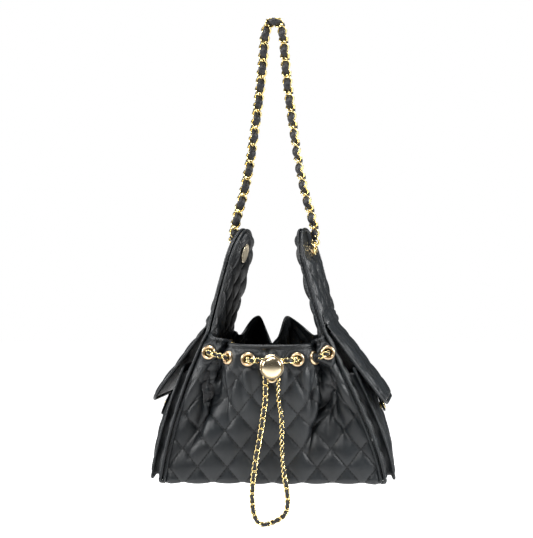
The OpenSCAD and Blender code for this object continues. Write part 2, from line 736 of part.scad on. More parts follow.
flap_panel(1);  // right_flap_panel
flap_piping(-1);  // left_flap_piping
flap_piping(1);  // right_flap_piping
flap_tab(-1);  // left_flap_tab
flap_tab(1);  // right_flap_tab
tab_plate(-1);  // left_tab_plate
tab_plate(1);  // right_tab_plate
snap_stud(-1);  // left_snap_stud
snap_stud(1);  // right_snap_stud
tail_lace();
tail_links();
slider_cap();
slider_guide();
slider_back();
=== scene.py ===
import math
import bpy
import bmesh
import numpy as np
from mathutils import Matrix, Vector


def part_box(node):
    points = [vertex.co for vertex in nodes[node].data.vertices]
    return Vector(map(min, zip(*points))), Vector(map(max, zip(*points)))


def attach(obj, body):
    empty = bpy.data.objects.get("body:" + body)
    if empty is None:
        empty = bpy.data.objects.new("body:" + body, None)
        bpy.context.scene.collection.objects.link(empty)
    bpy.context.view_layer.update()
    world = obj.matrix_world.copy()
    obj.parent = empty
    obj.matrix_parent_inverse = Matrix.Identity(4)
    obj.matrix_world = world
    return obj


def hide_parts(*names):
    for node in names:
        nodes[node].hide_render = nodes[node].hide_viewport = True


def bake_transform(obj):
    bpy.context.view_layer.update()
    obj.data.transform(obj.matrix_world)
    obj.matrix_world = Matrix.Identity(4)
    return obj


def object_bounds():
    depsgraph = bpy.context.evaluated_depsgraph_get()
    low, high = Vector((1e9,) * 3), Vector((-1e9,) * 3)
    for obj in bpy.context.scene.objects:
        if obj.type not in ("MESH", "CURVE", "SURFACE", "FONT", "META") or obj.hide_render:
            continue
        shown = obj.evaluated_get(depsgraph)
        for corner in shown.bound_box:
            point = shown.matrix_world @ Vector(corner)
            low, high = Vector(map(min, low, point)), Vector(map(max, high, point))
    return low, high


# Quilted leather bucket bag that hangs by its chain strap.
# Lengths are metres. The origin is the point that the strap hangs from.

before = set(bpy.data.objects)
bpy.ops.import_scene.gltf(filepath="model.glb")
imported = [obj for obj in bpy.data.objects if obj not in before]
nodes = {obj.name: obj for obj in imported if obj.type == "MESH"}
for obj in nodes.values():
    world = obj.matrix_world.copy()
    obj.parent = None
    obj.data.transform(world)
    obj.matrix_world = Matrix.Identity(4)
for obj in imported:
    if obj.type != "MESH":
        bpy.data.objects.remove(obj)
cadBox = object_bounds()
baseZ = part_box("base_panel")[0].z      # underside of the base

# Sizes that the pieces share
bag = {
    "baseWidth": 0.268, "baseDepth": 0.150,
    "bodyHeight": 0.178,               # at the side seams
    "mouthWidth": 0.144, "mouthDepth": 0.128,
    "rimDip": 0.013, "belly": 0.008,
    "mouthTurn": 7.0, "hornTurn": 13.0,        # degrees that the bag turns as it hangs
    "hornHeight": 0.124, "hornWidth": 0.086,
    "hornSpan": 0.094,                 # between the horns' outer faces at the posts
    "postDrop": 0.025,                 # from a horn's top to its post
    "panel": 0.0026, "facing": 0.0054, "seat": 0.0003,
    "piping": 0.002,
}
hornTop = bag["bodyHeight"] + bag["hornHeight"]
postHeight = hornTop - bag["postDrop"]
roundHeight = hornTop - bag["hornWidth"] / 2
hornSlope = (bag["mouthWidth"] - bag["hornSpan"]) / 2 / (postHeight - bag["bodyHeight"])
cornerInset = bag["panel"] + bag["seat"]

# Folds of the gathered mouth: share of the half width, distance in front of the corners
frontFolds = [
    (-1, 0), (-0.93, 0.013), (-0.77, 0.010), (-0.69, -0.012), (-0.66, 0.008), (-0.42, 0.021),
    (0.02, 0.025), (0.44, 0.021), (0.66, 0.008), (0.69, -0.012), (0.77, 0.010), (0.93, 0.013), (1, 0)]
backFolds = [
    (-1, 0), (-0.9, 0.012), (-0.76, 0.012), (-0.66, -0.012), (-0.5, 0.010), (-0.2, 0.016),
    (0.02, -0.010), (0.24, 0.016), (0.52, 0.010), (0.68, -0.012), (0.78, 0.012), (0.92, 0.012), (1, 0)]
foldStart = 0.25                       # share of the height where the folds begin
frontEyelets = [-0.78, -0.31, -0.135, 0.135, 0.31, 0.82]
backEyelets = [-0.76, -0.3, -0.17, 0.2, 0.33, 0.76]
eyeletLevel = 0.9


# Small helpers
def eased(s):
    s = np.clip(s, 0.0, 1.0)
    return s * s * (3 - 2 * s)


def mixed(a, b, s):
    return a + (b - a) * s


def unit(v):
    return v / np.maximum(np.linalg.norm(v, axis=-1, keepdims=True), 1e-12)


def spun(p, degrees):
    a = np.radians(degrees)
    p = np.asarray(p, float)
    return np.stack([p[..., 0] * np.cos(a) + p[..., 1] * np.sin(a),
                     p[..., 1] * np.cos(a) - p[..., 0] * np.sin(a), p[..., 2]], -1)


def curveAt(points, place):
    # smooth curve through the points, place runs from 0 to the last index
    p = np.asarray(points, float)
    last = len(p) - 1
    place = np.asarray(place, float)
    i = np.minimum(np.floor(place).astype(int), last - 1)
    f = (place - i)[..., None]
    a, b, c, d = p[np.maximum(i - 1, 0)], p[i], p[i + 1], p[np.minimum(i + 2, last)]
    return 0.5 * (2 * b + (c - a) * f + (2 * a - 5 * b + 4 * c - d) * f ** 2
                  + (3 * b - a - 3 * c + d) * f ** 3)


def evenly(points, step):
    # the same curve with points at a steady spacing, and the length of it
    fine = curveAt(points, np.linspace(0, len(points) - 1, len(points) * 24))
    run = runAlong(fine)
    count = max(int(round(run[-1] / step)), 2)
    spots = np.linspace(0, run[-1], count + 1)
    return np.stack([np.interp(spots, run, fine[:, k]) for k in range(3)], -1), run[-1]


def bump(x, middle, width):
    return np.exp(-((x - middle) / width) ** 2)


def runAlong(points):
    # distance along a path at each of its points
    return np.concatenate([[0], np.cumsum(np.linalg.norm(np.diff(points, axis=0), axis=1))])


def pair(a, b):
    return np.stack([a, b], -1)


def fromSides(U):
    # distance from the nearer side of a sheet, in its flat coordinates
    return np.minimum(U - U[:, :1], U[:, -1:] - U)


def toMesh(bm, name):
    mesh = bpy.data.meshes.new(name)
    bm.to_mesh(mesh)
    bm.free()
    return mesh


# Outline of the bag at a height above the base
def turnAt(h):
    rise = np.clip((h - bag["bodyHeight"]) / (postHeight - 0.015 - bag["bodyHeight"]), 0, 1)
    return np.where(h < bag["bodyHeight"], bag["mouthTurn"] * eased(h / bag["bodyHeight"]),
                    mixed(bag["mouthTurn"], bag["hornTurn"], rise))


def halfWidth(h):
    body = mixed(bag["baseWidth"], bag["mouthWidth"], np.clip(h / bag["bodyHeight"], 0, 1) ** 1.4) / 2
    return np.where(h < bag["bodyHeight"], body,
                    bag["mouthWidth"] / 2 - (h - bag["bodyHeight"]) * hornSlope)


def halfDepth(h):
    body = mixed(bag["baseDepth"], bag["mouthDepth"], h / bag["bodyHeight"]) / 2
    neck = mixed(bag["mouthDepth"], bag["hornWidth"],
                 (h - bag["bodyHeight"]) / (roundHeight - bag["bodyHeight"])) / 2
    top = np.sqrt(np.maximum((bag["hornWidth"] / 2) ** 2 - (h - roundHeight) ** 2, 0))
    return np.where(h < bag["bodyHeight"], body, np.where(h < roundHeight, neck, top))


def placed(p, share=1.0):
    # from the untwisted bag that stands on its base, to where it hangs
    p = np.asarray(p, float)
    share = np.asarray(share, float)
    p = mixed(p, spun(p, turnAt(p[..., 2])), share[..., None] if share.ndim else share)
    return p + np.array([0, 0, baseZ])


def normalsOf(grid):
    across, up = np.gradient(grid, axis=1), np.gradient(grid, axis=0)
    return unit(np.cross(across, up))


# Camera, light and floor
view = {"distance": 1.5, "turn": 1.75, "aim": (-0.0094, 0.0, -0.309), "lens": 80.3}
scene = bpy.context.scene
cameraData = bpy.data.cameras.new("camera")
cameraData.lens = view["lens"]
cameraData.sensor_width = 36
camera = bpy.data.objects.new("camera", cameraData)
scene.collection.objects.link(camera)
turn = math.radians(view["turn"])
camera.location = Vector(view["aim"]) + view["distance"] * Vector((math.sin(turn), -math.cos(turn), 0))
camera.rotation_euler = (math.radians(90), 0, turn)
scene.camera = camera
scene.view_settings.view_transform = "Standard"
scene.view_settings.look = "None"

studio = {
    "backdrop": 1.0, "fill": 0.05,     # brightness behind the bag, and of the light all round it
    # name: (place, aim, size, power)
    "lights": {
        "keyLight": ((-0.55, -1.1, 0.95), (0, 0, -0.42), 0.55, 27),
        "rightLight": ((1.5, -0.35, 0.30), (0, 0, -0.42), 0.8, 38),
        "topLight": ((0.1, 0.3, 1.2), (0, 0, -0.42), 0.8, 22),
        "leftLight": ((-1.6, -0.1, 0.2), (0, 0, -0.42), 0.7, 24),
    },
    "floorDrop": 0.16, "floor": 0.95,  # how far below the bag it is, and its brightness
}
world = bpy.data.worlds.new("studio")
world.use_nodes = True
background = world.node_tree.nodes["Background"]
background.inputs[0].default_value = (1, 1, 1, 1)
seen = world.node_tree.nodes.new("ShaderNodeLightPath")
level = world.node_tree.nodes.new("ShaderNodeMapRange")
level.inputs["To Min"].default_value = studio["fill"]
level.inputs["To Max"].default_value = studio["backdrop"]
world.node_tree.links.new(seen.outputs["Is Camera Ray"], level.inputs["Value"])
world.node_tree.links.new(level.outputs[0], background.inputs[1])
scene.world = world
for name, (place, aim, size, power) in studio["lights"].items():
    data = bpy.data.lights.new(name, "AREA")
    data.shape = "DISK"
    data.size = size
    data.energy = power
    lamp = bpy.data.objects.new(name, data)
    lamp.location = place
    lamp.rotation_euler = (Vector(aim) - Vector(place)).to_track_quat("-Z", "Y").to_euler()
    scene.collection.objects.link(lamp)


# Materials
def newMaterial(name):
    material = bpy.data.materials.new(name)
    material.use_nodes = True
    tree = material.node_tree
    tree.nodes.clear()
    shader = tree.nodes.new("ShaderNodeBsdfPrincipled")
    output = tree.nodes.new("ShaderNodeOutputMaterial")
    tree.links.new(shader.outputs[0], output.inputs[0])
    return material, tree, shader


def feed(tree, socket, value):
    if hasattr(value, "is_output"):
        tree.links.new(value, socket)
    else:
        socket.default_value = value


def calc(tree, operation, *values):
    node = tree.nodes.new("ShaderNodeMath")
    node.operation = operation
    for socket, value in zip(node.inputs, values):
        feed(tree, socket, value)
    return node.outputs[0]


def objectPlace(tree):
    return tree.nodes.new("ShaderNodeTexCoord").outputs["Object"]


def uvPlace(tree, layer):
    # the two coordinates of a UV layer
    uv = tree.nodes.new("ShaderNodeUVMap")
    uv.uv_map = layer
    parts = tree.nodes.new("ShaderNodeSeparateXYZ")
    tree.links.new(uv.outputs[0], parts.inputs[0])
    return parts.outputs[0], parts.outputs[1]


def dashes(tree, along, count):
    # 1 on a stitch and 0 between stitches, count stitches to a unit
    beat = calc(tree, "FRACT", calc(tree, "MULTIPLY", along, float(count)))
    return remap(tree, calc(tree, "ABSOLUTE", calc(tree, "SUBTRACT", beat, 0.5)), 0.30, 0.36, 1.0, 0.0)


def noise(tree, coords, scale, detail=3.0, rough=0.5):
    node = tree.nodes.new("ShaderNodeTexNoise")
    tree.links.new(coords, node.inputs["Vector"])
    node.inputs["Scale"].default_value = scale
    node.inputs["Detail"].default_value = detail
    node.inputs["Roughness"].default_value = rough
    return node.outputs["Fac"]


def cells(tree, coords, scale):
    node = tree.nodes.new("ShaderNodeTexVoronoi")
    node.feature = "DISTANCE_TO_EDGE"
    tree.links.new(coords, node.inputs["Vector"])
    node.inputs["Scale"].default_value = scale
    return node.outputs["Distance"]


def remap(tree, value, low, high, toLow, toHigh):
    node = tree.nodes.new("ShaderNodeMapRange")
    for socket, v in zip(node.inputs, (value, low, high, toLow, toHigh)):
        feed(tree, socket, v)
    return node.outputs[0]


def blendColours(tree, factor, a, b):
    node = tree.nodes.new("ShaderNodeMix")
    node.data_type = "RGBA"
    feed(tree, node.inputs["Factor"], factor)
    feed(tree, node.inputs[6], a)
    feed(tree, node.inputs[7], b)
    return node.outputs[2]


def addBump(tree, shader, height, distance, under=None):
    node = tree.nodes.new("ShaderNodeBump")
    node.inputs["Distance"].default_value = distance
    tree.links.new(height, node.inputs["Height"])
    if under is not None:
        tree.links.new(under, node.inputs["Normal"])
    tree.links.new(node.outputs[0], shader.inputs["Normal"])
    return node.outputs[0]


quilt = {
    "wide": 0.0355, "high": 0.0435,    # diagonals of a diamond
    "puff": 0.0043,                    # height of a pad
    "stitches": 7,                     # along one side of a diamond
    "hem": 0.0045, "hemStitches": 24,  # how far inside an edge, and how many to a UV unit
    "uvScale": 10.0,                   # UV units in a metre
}


def leatherMaterial(name, stitched, colour=(0.0070, 0.0088, 0.0104), roughness=0.38):
    # fine pebble grain with soft wrinkles, and rows of stitches along the quilting; the stitch dashes are
    # black thread painted darker than the leather, partly as painted shade of the stitch holes
    material, tree, shader = newMaterial(name)
    coords = objectPlace(tree)
    pebble = cells(tree, coords, 780)
    wrinkle = noise(tree, coords, 190, 4.0, 0.62)
    wide = noise(tree, coords, 24, 3.0)
    bright = tuple(c * 1.55 for c in colour) + (1.0,)
    dark = tuple(c * 0.72 for c in colour) + (1.0,)
    tint = blendColours(tree, remap(tree, wide, 0.3, 0.7, 0.0, 1.0), dark, bright)
    rough = calc(tree, "ADD", roughness - 0.08, calc(tree, "MULTIPLY", wrinkle, 0.17))
    height = calc(tree, "ADD", calc(tree, "MINIMUM", calc(tree, "MULTIPLY", pebble, 3.5), 1.0),
                  calc(tree, "MULTIPLY", wrinkle, 1.3))
    normal = addBump(tree, shader, height, 0.00010)
    if stitched:
        u, v = uvPlace(tree, "flat")
        across = calc(tree, "DIVIDE", u, quilt["wide"] * quilt["uvScale"])
        up = calc(tree, "DIVIDE", v, quilt["high"] * quilt["uvScale"])
        lines = (calc(tree, "ADD", across, up), calc(tree, "SUBTRACT", across, up))
        spacing = 1 / math.hypot(1 / quilt["wide"], 1 / quilt["high"])
        threadAndShadeParts = []
        for here, other in (lines, lines[::-1]):
            off = calc(tree, "ABSOLUTE", calc(tree, "SUBTRACT", here, calc(tree, "ROUND", here)))
            near = remap(tree, calc(tree, "MULTIPLY", off, spacing), 0.00035, 0.00065, 1.0, 0.0)
            threadAndShadeParts.append(calc(tree, "MULTIPLY", near, dashes(tree, other, quilt["stitches"])))
        along, inside = uvPlace(tree, "hem")
        away = calc(tree, "ABSOLUTE", calc(tree, "SUBTRACT", inside, quilt["hem"] * quilt["uvScale"]))
        near = remap(tree, away, 0.0025, 0.005, 1.0, 0.0)
        threadAndShadeParts.append(calc(tree, "MULTIPLY", near, dashes(tree, along, quilt["hemStitches"])))
        threadAndShade = calc(tree, "MAXIMUM", calc(tree, "MAXIMUM", threadAndShadeParts[0], threadAndShadeParts[1]), threadAndShadeParts[2])
        # stitch dashes: black thread, painted darker than the leather as painted shade in the stitch
        # holes
        tint = blendColours(tree, threadAndShade, tint, (0.002, 0.002, 0.0022, 1.0))
        rough = calc(tree, "ADD", rough, calc(tree, "MULTIPLY", threadAndShade, 0.3))
        addBump(tree, shader, threadAndShade, 0.00035, normal)
    tree.links.new(tint, shader.inputs["Base Color"])
    tree.links.new(rough, shader.inputs["Roughness"])
    shader.inputs["Specular IOR Level"].default_value = 0.46
    return material


def metalMaterial(name, colour, roughness):
    # polished plating with faint handling marks
    material, tree, shader = newMaterial(name)
    coords = objectPlace(tree)
    marks = noise(tree, coords, 420, 4.0, 0.65)
    wide = noise(tree, coords, 60, 2.0)
    worn = tuple(c * 0.86 for c in colour) + (1.0,)
    tint = blendColours(tree, remap(tree, wide, 0.35, 0.7, 0.0, 1.0), colour + (1.0,), worn)
    tree.links.new(tint, shader.inputs["Base Color"])
    rough = calc(tree, "ADD", roughness, calc(tree, "MULTIPLY", marks, 0.09))
    tree.links.new(rough, shader.inputs["Roughness"])
    addBump(tree, shader, marks, 0.00001)
    shader.inputs["Metallic"].default_value = 1.0
    return material


def liningMaterial():
    # black twill with a few pale flecks of lint
    material, tree, shader = newMaterial("lining cloth")
    twill = calc(tree, "SINE", calc(tree, "MULTIPLY", calc(tree, "ADD", *uvPlace(tree, "flat")), 620.0))
    coords = objectPlace(tree)
    lint = remap(tree, noise(tree, coords, 700, 2.0), 0.74, 0.8, 0.0, 0.5)
    tint = blendColours(tree, lint, (0.009, 0.009, 0.0105, 1.0), (0.16, 0.16, 0.17, 1.0))
    tree.links.new(tint, shader.inputs["Base Color"])
    shader.inputs["Roughness"].default_value = 0.82
    shader.inputs["Sheen Weight"].default_value = 0.15
    addBump(tree, shader, twill, 0.00012)
    return material


leather = leatherMaterial("quilted leather", True)
plainLeather = leatherMaterial("plain leather", False)
laceLeather = leatherMaterial("lace leather", False, (0.010, 0.010, 0.011), 0.46)
gold = metalMaterial("yellow gold plating", (0.95, 0.77, 0.36), 0.18)
rimGold = metalMaterial("rose gold plating", (0.90, 0.66, 0.40), 0.24)
paleGold = metalMaterial("pale gold plating", (0.92, 0.77, 0.53), 0.18)
satinGold = metalMaterial("satin gold plating", (0.96, 0.84, 0.62), 0.36)
lining = liningMaterial()

floorMaterial, floorTree, floorShader = newMaterial("studio paper")
paper = noise(floorTree, objectPlace(floorTree), 3.0)
floorTree.links.new(blendColours(floorTree, paper, (0.93, 0.93, 0.93, 1), (0.96, 0.96, 0.96, 1)),
                    floorShader.inputs["Base Color"])
floorShader.inputs["Roughness"].default_value = 0.9
floorShader.inputs["Emission Color"].default_value = (1, 1, 1, 1)
floorSeen = floorTree.nodes.new("ShaderNodeLightPath").outputs["Is Camera Ray"]
floorGlow = remap(floorTree, floorSeen, 0.0, 1.0, studio["fill"], studio["floor"])
floorTree.links.new(floorGlow, floorShader.inputs["Emission Strength"])
floorBm = bmesh.new()
bmesh.ops.create_grid(floorBm, x_segments=2, y_segments=2, size=6)
bmesh.ops.translate(floorBm, verts=floorBm.verts, vec=(0, 0, cadBox[0].z - studio["floorDrop"]))
floorMesh = toMesh(floorBm, "floor")
floorMesh.materials.append(floorMaterial)
floor = bpy.data.objects.new("floor", floorMesh)
scene.collection.objects.link(floor)
print("camera, lights and materials are ready")


# Making meshes
def finished(mesh, name, material, body, replaced=()):
    # links a mesh whose place is final, and says which body it rides on
    mesh.materials.clear()
    mesh.materials.append(material)
    mesh.polygons.foreach_set("use_smooth", np.ones(len(mesh.polygons), bool))
    piece = bpy.data.objects.new(name, mesh)
    scene.collection.objects.link(piece)
    if body:
        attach(piece, body)
    if replaced:
        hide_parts(*replaced)
    return piece


def gridMesh(name, points, uvs=None, closeEnds=False, holes=()):
    # a grid bent to rows x columns of points; edges that meet are welded
    rows, cols = points.shape[:2]
    bm = bmesh.new()
    bmesh.ops.create_grid(bm, x_segments=cols - 1, y_segments=rows - 1, size=1)
    mesh = toMesh(bm, name)
    mesh.vertices.foreach_set("co", points.reshape(-1).astype(np.float32))
    corners = np.empty(len(mesh.loops), np.int32)
    mesh.loops.foreach_get("vertex_index", corners)
    while mesh.uv_layers:
        mesh.uv_layers.remove(mesh.uv_layers[0])
    for layerName, uv in (uvs or {}).items():
        layer = mesh.uv_layers.new(name=layerName)
        flat = uv.reshape(-1, 2)[corners] * quilt["uvScale"]
        layer.data.foreach_set("uv", flat.reshape(-1).astype(np.float32))
    bm = bmesh.new()
    bm.from_mesh(mesh)
    for centre, axis, radius in holes:
        pierce(bm, Vector(centre), Vector(axis), radius)
    bmesh.ops.remove_doubles(bm, verts=bm.verts, dist=1e-6)
    bmesh.ops.dissolve_degenerate(bm, edges=bm.edges, dist=1e-7)
    if closeEnds:
        bmesh.ops.holes_fill(bm, edges=[e for e in bm.edges if e.is_boundary], sides=0)
    bm.to_mesh(mesh)
    bm.free()
    return mesh


def pierce(bm, centre, axis, radius):
    # a round hole through both layers of a sheet, with its edges joined
    def off(p):
        along = (p - centre).dot(axis)
        return along, (p - centre - axis * along).length
    near = [f for f in bm.faces if (f.calc_center_median() - centre).length < 3 * radius]
    gone = [f for f in near
            if off(f.calc_center_median())[1] < radius and abs(off(f.calc_center_median())[0]) < 0.008]
    touched = {v for f in gone for v in f.verts}
    bmesh.ops.delete(bm, geom=gone, context="FACES")
    edge = [v for v in touched if v.is_valid and v.is_boundary]
    for v in edge:
        along, away = off(v.co)
        v.co = centre + axis * along + (v.co - centre - axis * along) * (radius / max(away, 1e-5))
    ring = {e for v in edge for e in v.link_edges if e.is_boundary}
    bmesh.ops.bridge_loops(bm, edges=list(ring))


def shellMesh(name, base, thickness, uv, puff=None, hem=None, holes=(), lip=6):
    # base is the smooth outer face, lowest row first. Its pads stand on it, and its edge is
    # rounded over at the top row and closed along the other three sides.
    normals = normalsOf(base)
    rows, cols = base.shape[:2]
    outer = base + normals * (puff[..., None] if puff is not None else 0)
    r = np.minimum(np.arange(rows)[:, None] / 3.0, 1.0)
    c = np.minimum(np.minimum(np.arange(cols), np.arange(cols)[::-1])[None, :] / 3.0, 1.0)
    inner = outer + (base - normals * thickness - outer) * (eased(r) * eased(c))[..., None]
    middle, half = (outer[-1] + inner[-1]) / 2, (outer[-1] - inner[-1]) / 2
    up = unit(outer[-1] - outer[-2]) * np.linalg.norm(half, axis=-1, keepdims=True)
    turns = [math.pi * k / lip for k in range(1, lip)]
    edge = np.array([middle + half * math.cos(a) + up * math.sin(a) for a in turns])
    points = np.concatenate([outer, edge, inner[::-1]])

    def wrap(field):
        return np.concatenate([field, np.repeat(field[-1:], lip - 1, axis=0), field[::-1]])
    uvs = {"flat": wrap(uv), "hem": wrap(hem if hem is not None else uv * 0 + 0.1)}
    return gridMesh(name, points, uvs, holes=holes)


def tubePoints(path, normals, wide, thick, sides, closed=False):
    # flat or round profile along a path: wide lies across, thick along the normals
    tangent = (np.roll(path, -1, 0) - np.roll(path, 1, 0)) if closed else np.gradient(path, axis=0)
    tangent = unit(tangent)
    normals = unit(normals - tangent * np.sum(normals * tangent, -1, keepdims=True))
    across = np.cross(tangent, normals)
    a = np.linspace(0, 2 * math.pi, sides + 1)
    wide, thick = np.broadcast_to(wide, len(path)), np.broadcast_to(thick, len(path))
    points = (path[:, None] + across[:, None] * (wide[:, None, None] * np.cos(a)[None, :, None])
              + normals[:, None] * (thick[:, None, None] * np.sin(a)[None, :, None]))
    return np.concatenate([points, points[:1]]) if closed else points


def tubeMesh(name, path, normals, wide, thick, sides=10, closed=False):
    points = tubePoints(path, normals, wide, thick, sides, closed)
    run = runAlong(points[:, 0])
    aboutIt = np.linspace(0, 2 * math.pi * 0.002, sides + 1)
    uv = np.stack(np.broadcast_arrays(run[:, None], aboutIt[None, :]), -1)
    mesh = gridMesh(name, points, {"flat": uv}, closeEnds=not closed)
    bm = bmesh.new()
    bm.from_mesh(mesh)
    bmesh.ops.recalc_face_normals(bm, faces=bm.faces)
    bm.to_mesh(mesh)
    bm.free()
    return mesh


# Chains with a lace woven through them
def chainMesh(name, path, normals, chain):
    # twisted oval links at a steady pitch, each through the next
    link = bmesh.new()
    bmesh.ops.create_circle(link, segments=chain["sides"], radius=chain["wire"])
    bmesh.ops.rotate(link, verts=link.verts, matrix=Matrix.Rotation(math.radians(90), 3, "X"))
    bmesh.ops.translate(link, verts=link.verts, vec=(1.0, 0, 0))
    bmesh.ops.spin(link, geom=link.verts[:] + link.edges[:], cent=(0, 0, 0), axis=(0, 0, 1),
                   angle=2 * math.pi, steps=chain["steps"], use_merge=True)
    bmesh.ops.recalc_face_normals(link, faces=link.faces)
    half = chain["pitch"] / 2 + chain["wire"] * 1.25       # middle of the wire at a link's ends
    for v in link.verts:
        radial = Vector((v.co.x, v.co.y, 0))
        out = radial.normalized()
        extra = radial.length - 1.0
        x, y = out.x * (half + extra), out.y * (chain["wide"] + extra)
        a = math.radians(chain["twist"]) * x / half
        z = v.co.z
        v.co = (x, y * math.cos(a) - z * math.sin(a), y * math.sin(a) + z * math.cos(a))
    linkMesh = toMesh(link, "link")
    run = runAlong(path)
    filled = run[-1] - 2 * chain["margin"]
    count = int(round(filled / chain["pitch"]))
    spots = chain["margin"] + filled * np.arange(count + 1) / count
    tangents = unit(np.gradient(path, axis=0))
    normals = unit(normals - tangents * np.sum(normals * tangents, -1, keepdims=True))
    bm = bmesh.new()
    for spot in spots:
        place, along, up = (Vector([np.interp(spot, run, f[:, k]) for k in range(3)])
                            for f in (path, tangents, normals))
        along.normalize()
        across = up.cross(along).normalized()
        first = len(bm.verts)
        bm.from_mesh(linkMesh)
        bm.verts.ensure_lookup_table()
        turnTo = Matrix((along, across, along.cross(across))).transposed().to_4x4()
        bmesh.ops.transform(bm, verts=bm.verts[first:], matrix=Matrix.Translation(place) @ turnTo)
    bpy.data.meshes.remove(linkMesh)
    return toMesh(bm, name), filled / count


def woven(path, normals, pitch, chain):
    # the lace passes in front of one joint and behind the next
    run = runAlong(path)
    swing = np.cos(math.pi * ((run - chain["margin"]) / pitch - 0.5))
    ends = eased(run / pitch) * eased((run[-1] - run) / pitch)
    return path + unit(normals) * (chain["laceDepth"] * swing * ends)[:, None], swing


def turnedAbout(vectors, axes, degrees):
    # vectors turned about unit axes
    a = np.radians(degrees)[:, None]
    return (vectors * np.cos(a) + np.cross(axes, vectors) * np.sin(a)
            + axes * np.sum(axes * vectors, -1, keepdims=True) * (1 - np.cos(a)))


strapChain = {"pitch": 0.01075, "wide": 0.0052, "wire": 0.00135, "twist": -58, "steps": 22, "sides": 8,
              "margin": 0, "laceWide": 0.0049, "laceThick": 0.0022, "laceDepth": 0.0028,
              "laceSides": 12, "pinched": 0.14, "every": 6}
stringChain = {"pitch": 0.0063, "wide": 0.0028, "wire": 0.00078, "twist": 50, "steps": 14, "sides": 6,
               "margin": 0.003, "laceWide": 0.0021, "laceThick": 0.0008, "laceDepth": 0.0015,
               "laceSides": 10, "pinched": 0, "every": 4}


def wovenChain(word, path, normals, chain, body, linkNodes=()):
    # the links of a chain and its lace, which is narrower where it passes through a joint
    mesh, pitch = chainMesh(word + "Links", path, normals, chain)
    links = finished(mesh, word + "Links", gold, body, linkNodes)
    weave, swing = woven(path, normals, pitch, chain)
    wide = chain["laceWide"] * (1 - chain["pinched"] + chain["pinched"] * np.abs(swing))
    mesh = tubeMesh(word + "Lace", weave, normals, wide, chain["laceThick"], chain["laceSides"])
    lace = finished(mesh, word + "Lace", laceLeather, body, [word + "_lace"])


# Right half of the strap in its own plane, from the ring to the hanging point
strapRoute = [(x, 0, z) for x, z in (
    (0.0528, -0.2732), (0.0518, -0.261), (0.0488, -0.247), (0.0440, -0.230), (0.0390, -0.212),
    (0.034, -0.190), (0.0295, -0.165), (0.0255, -0.138), (0.0215, -0.110), (0.018, -0.082),
    (0.015, -0.055), (0.013, -0.030), (0.011, -0.014), (0.007, -0.003), (0, 0.0005))]
strapRight = [tuple(p) for p in spun(strapRoute, bag["hornTurn"])]
strapLeft = [tuple(p) for p in spun([(-x, y, z) for x, y, z in strapRoute], bag["hornTurn"])]
strapPath, strapLength = evenly(strapRight + strapLeft[-2::-1], 0.0012)
strapNormals = np.tile(spun([0.0, -1.0, 0.0], bag["hornTurn"]), (len(strapPath), 1))
strapRun = np.linspace(0, 1, len(strapPath))
wander = -24 - 14 * np.sin(strapRun * 9.1 + 0.7) + 7 * np.sin(strapRun * 23.0)
strapNormals = turnedAbout(strapNormals, unit(np.gradient(strapPath, axis=0)), wander)
wovenChain("strap", strapPath, strapNormals, strapChain, "strap", ["strap_links"])

# From the left front eyelet through the slider, down and round to the right eyelet
tailY = -0.103
tailRoute = [(-0.0285, -0.0963, -0.415), (-0.0265, -0.101, -0.4155)] + [(x, tailY, z) for x, z in (
    (-0.020, -0.416), (-0.014, -0.4155), (-0.0095, -0.4175), (-0.0075, -0.424), (-0.0075, -0.440),
    (-0.0075, -0.459), (-0.0095, -0.475), (-0.012, -0.492), (-0.0145, -0.508), (-0.0175, -0.524),
    (-0.0205, -0.543), (-0.0225, -0.562), (-0.023, -0.578), (-0.021, -0.594), (-0.017, -0.6025),
    (-0.011, -0.6065), (-0.0035, -0.6055), (0.004, -0.6025), (0.011, -0.5985), (0.0165, -0.592),
    (0.0185, -0.580), (0.017, -0.564), (0.014, -0.547), (0.012, -0.528), (0.0115, -0.508),
    (0.0115, -0.490), (0.010, -0.474), (0.0075, -0.459), (0.0075, -0.440), (0.0075, -0.424),
    (0.0095, -0.4175), (0.014, -0.4155), (0.020, -0.416))] + [
    (0.0265, -0.101, -0.4155), (0.029, -0.0963, -0.415)]
tailPath, tailLength = evenly(tailRoute, 0.0008)
tailNormals = np.tile([0.0, -1.0, 0.0], (len(tailPath), 1))
tailRun = np.linspace(0, 1, len(tailPath))
roll = 12 * np.sin(tailRun * 30) + 62 * eased((tailRun - 0.60) / 0.1) * eased((0.96 - tailRun) / 0.05)
tailNormals = turnedAbout(tailNormals, unit(np.gradient(tailPath, axis=0)), roll)
wovenChain("tail", tailPath, tailNormals, stringChain, "drawstring", ["tail_links"])

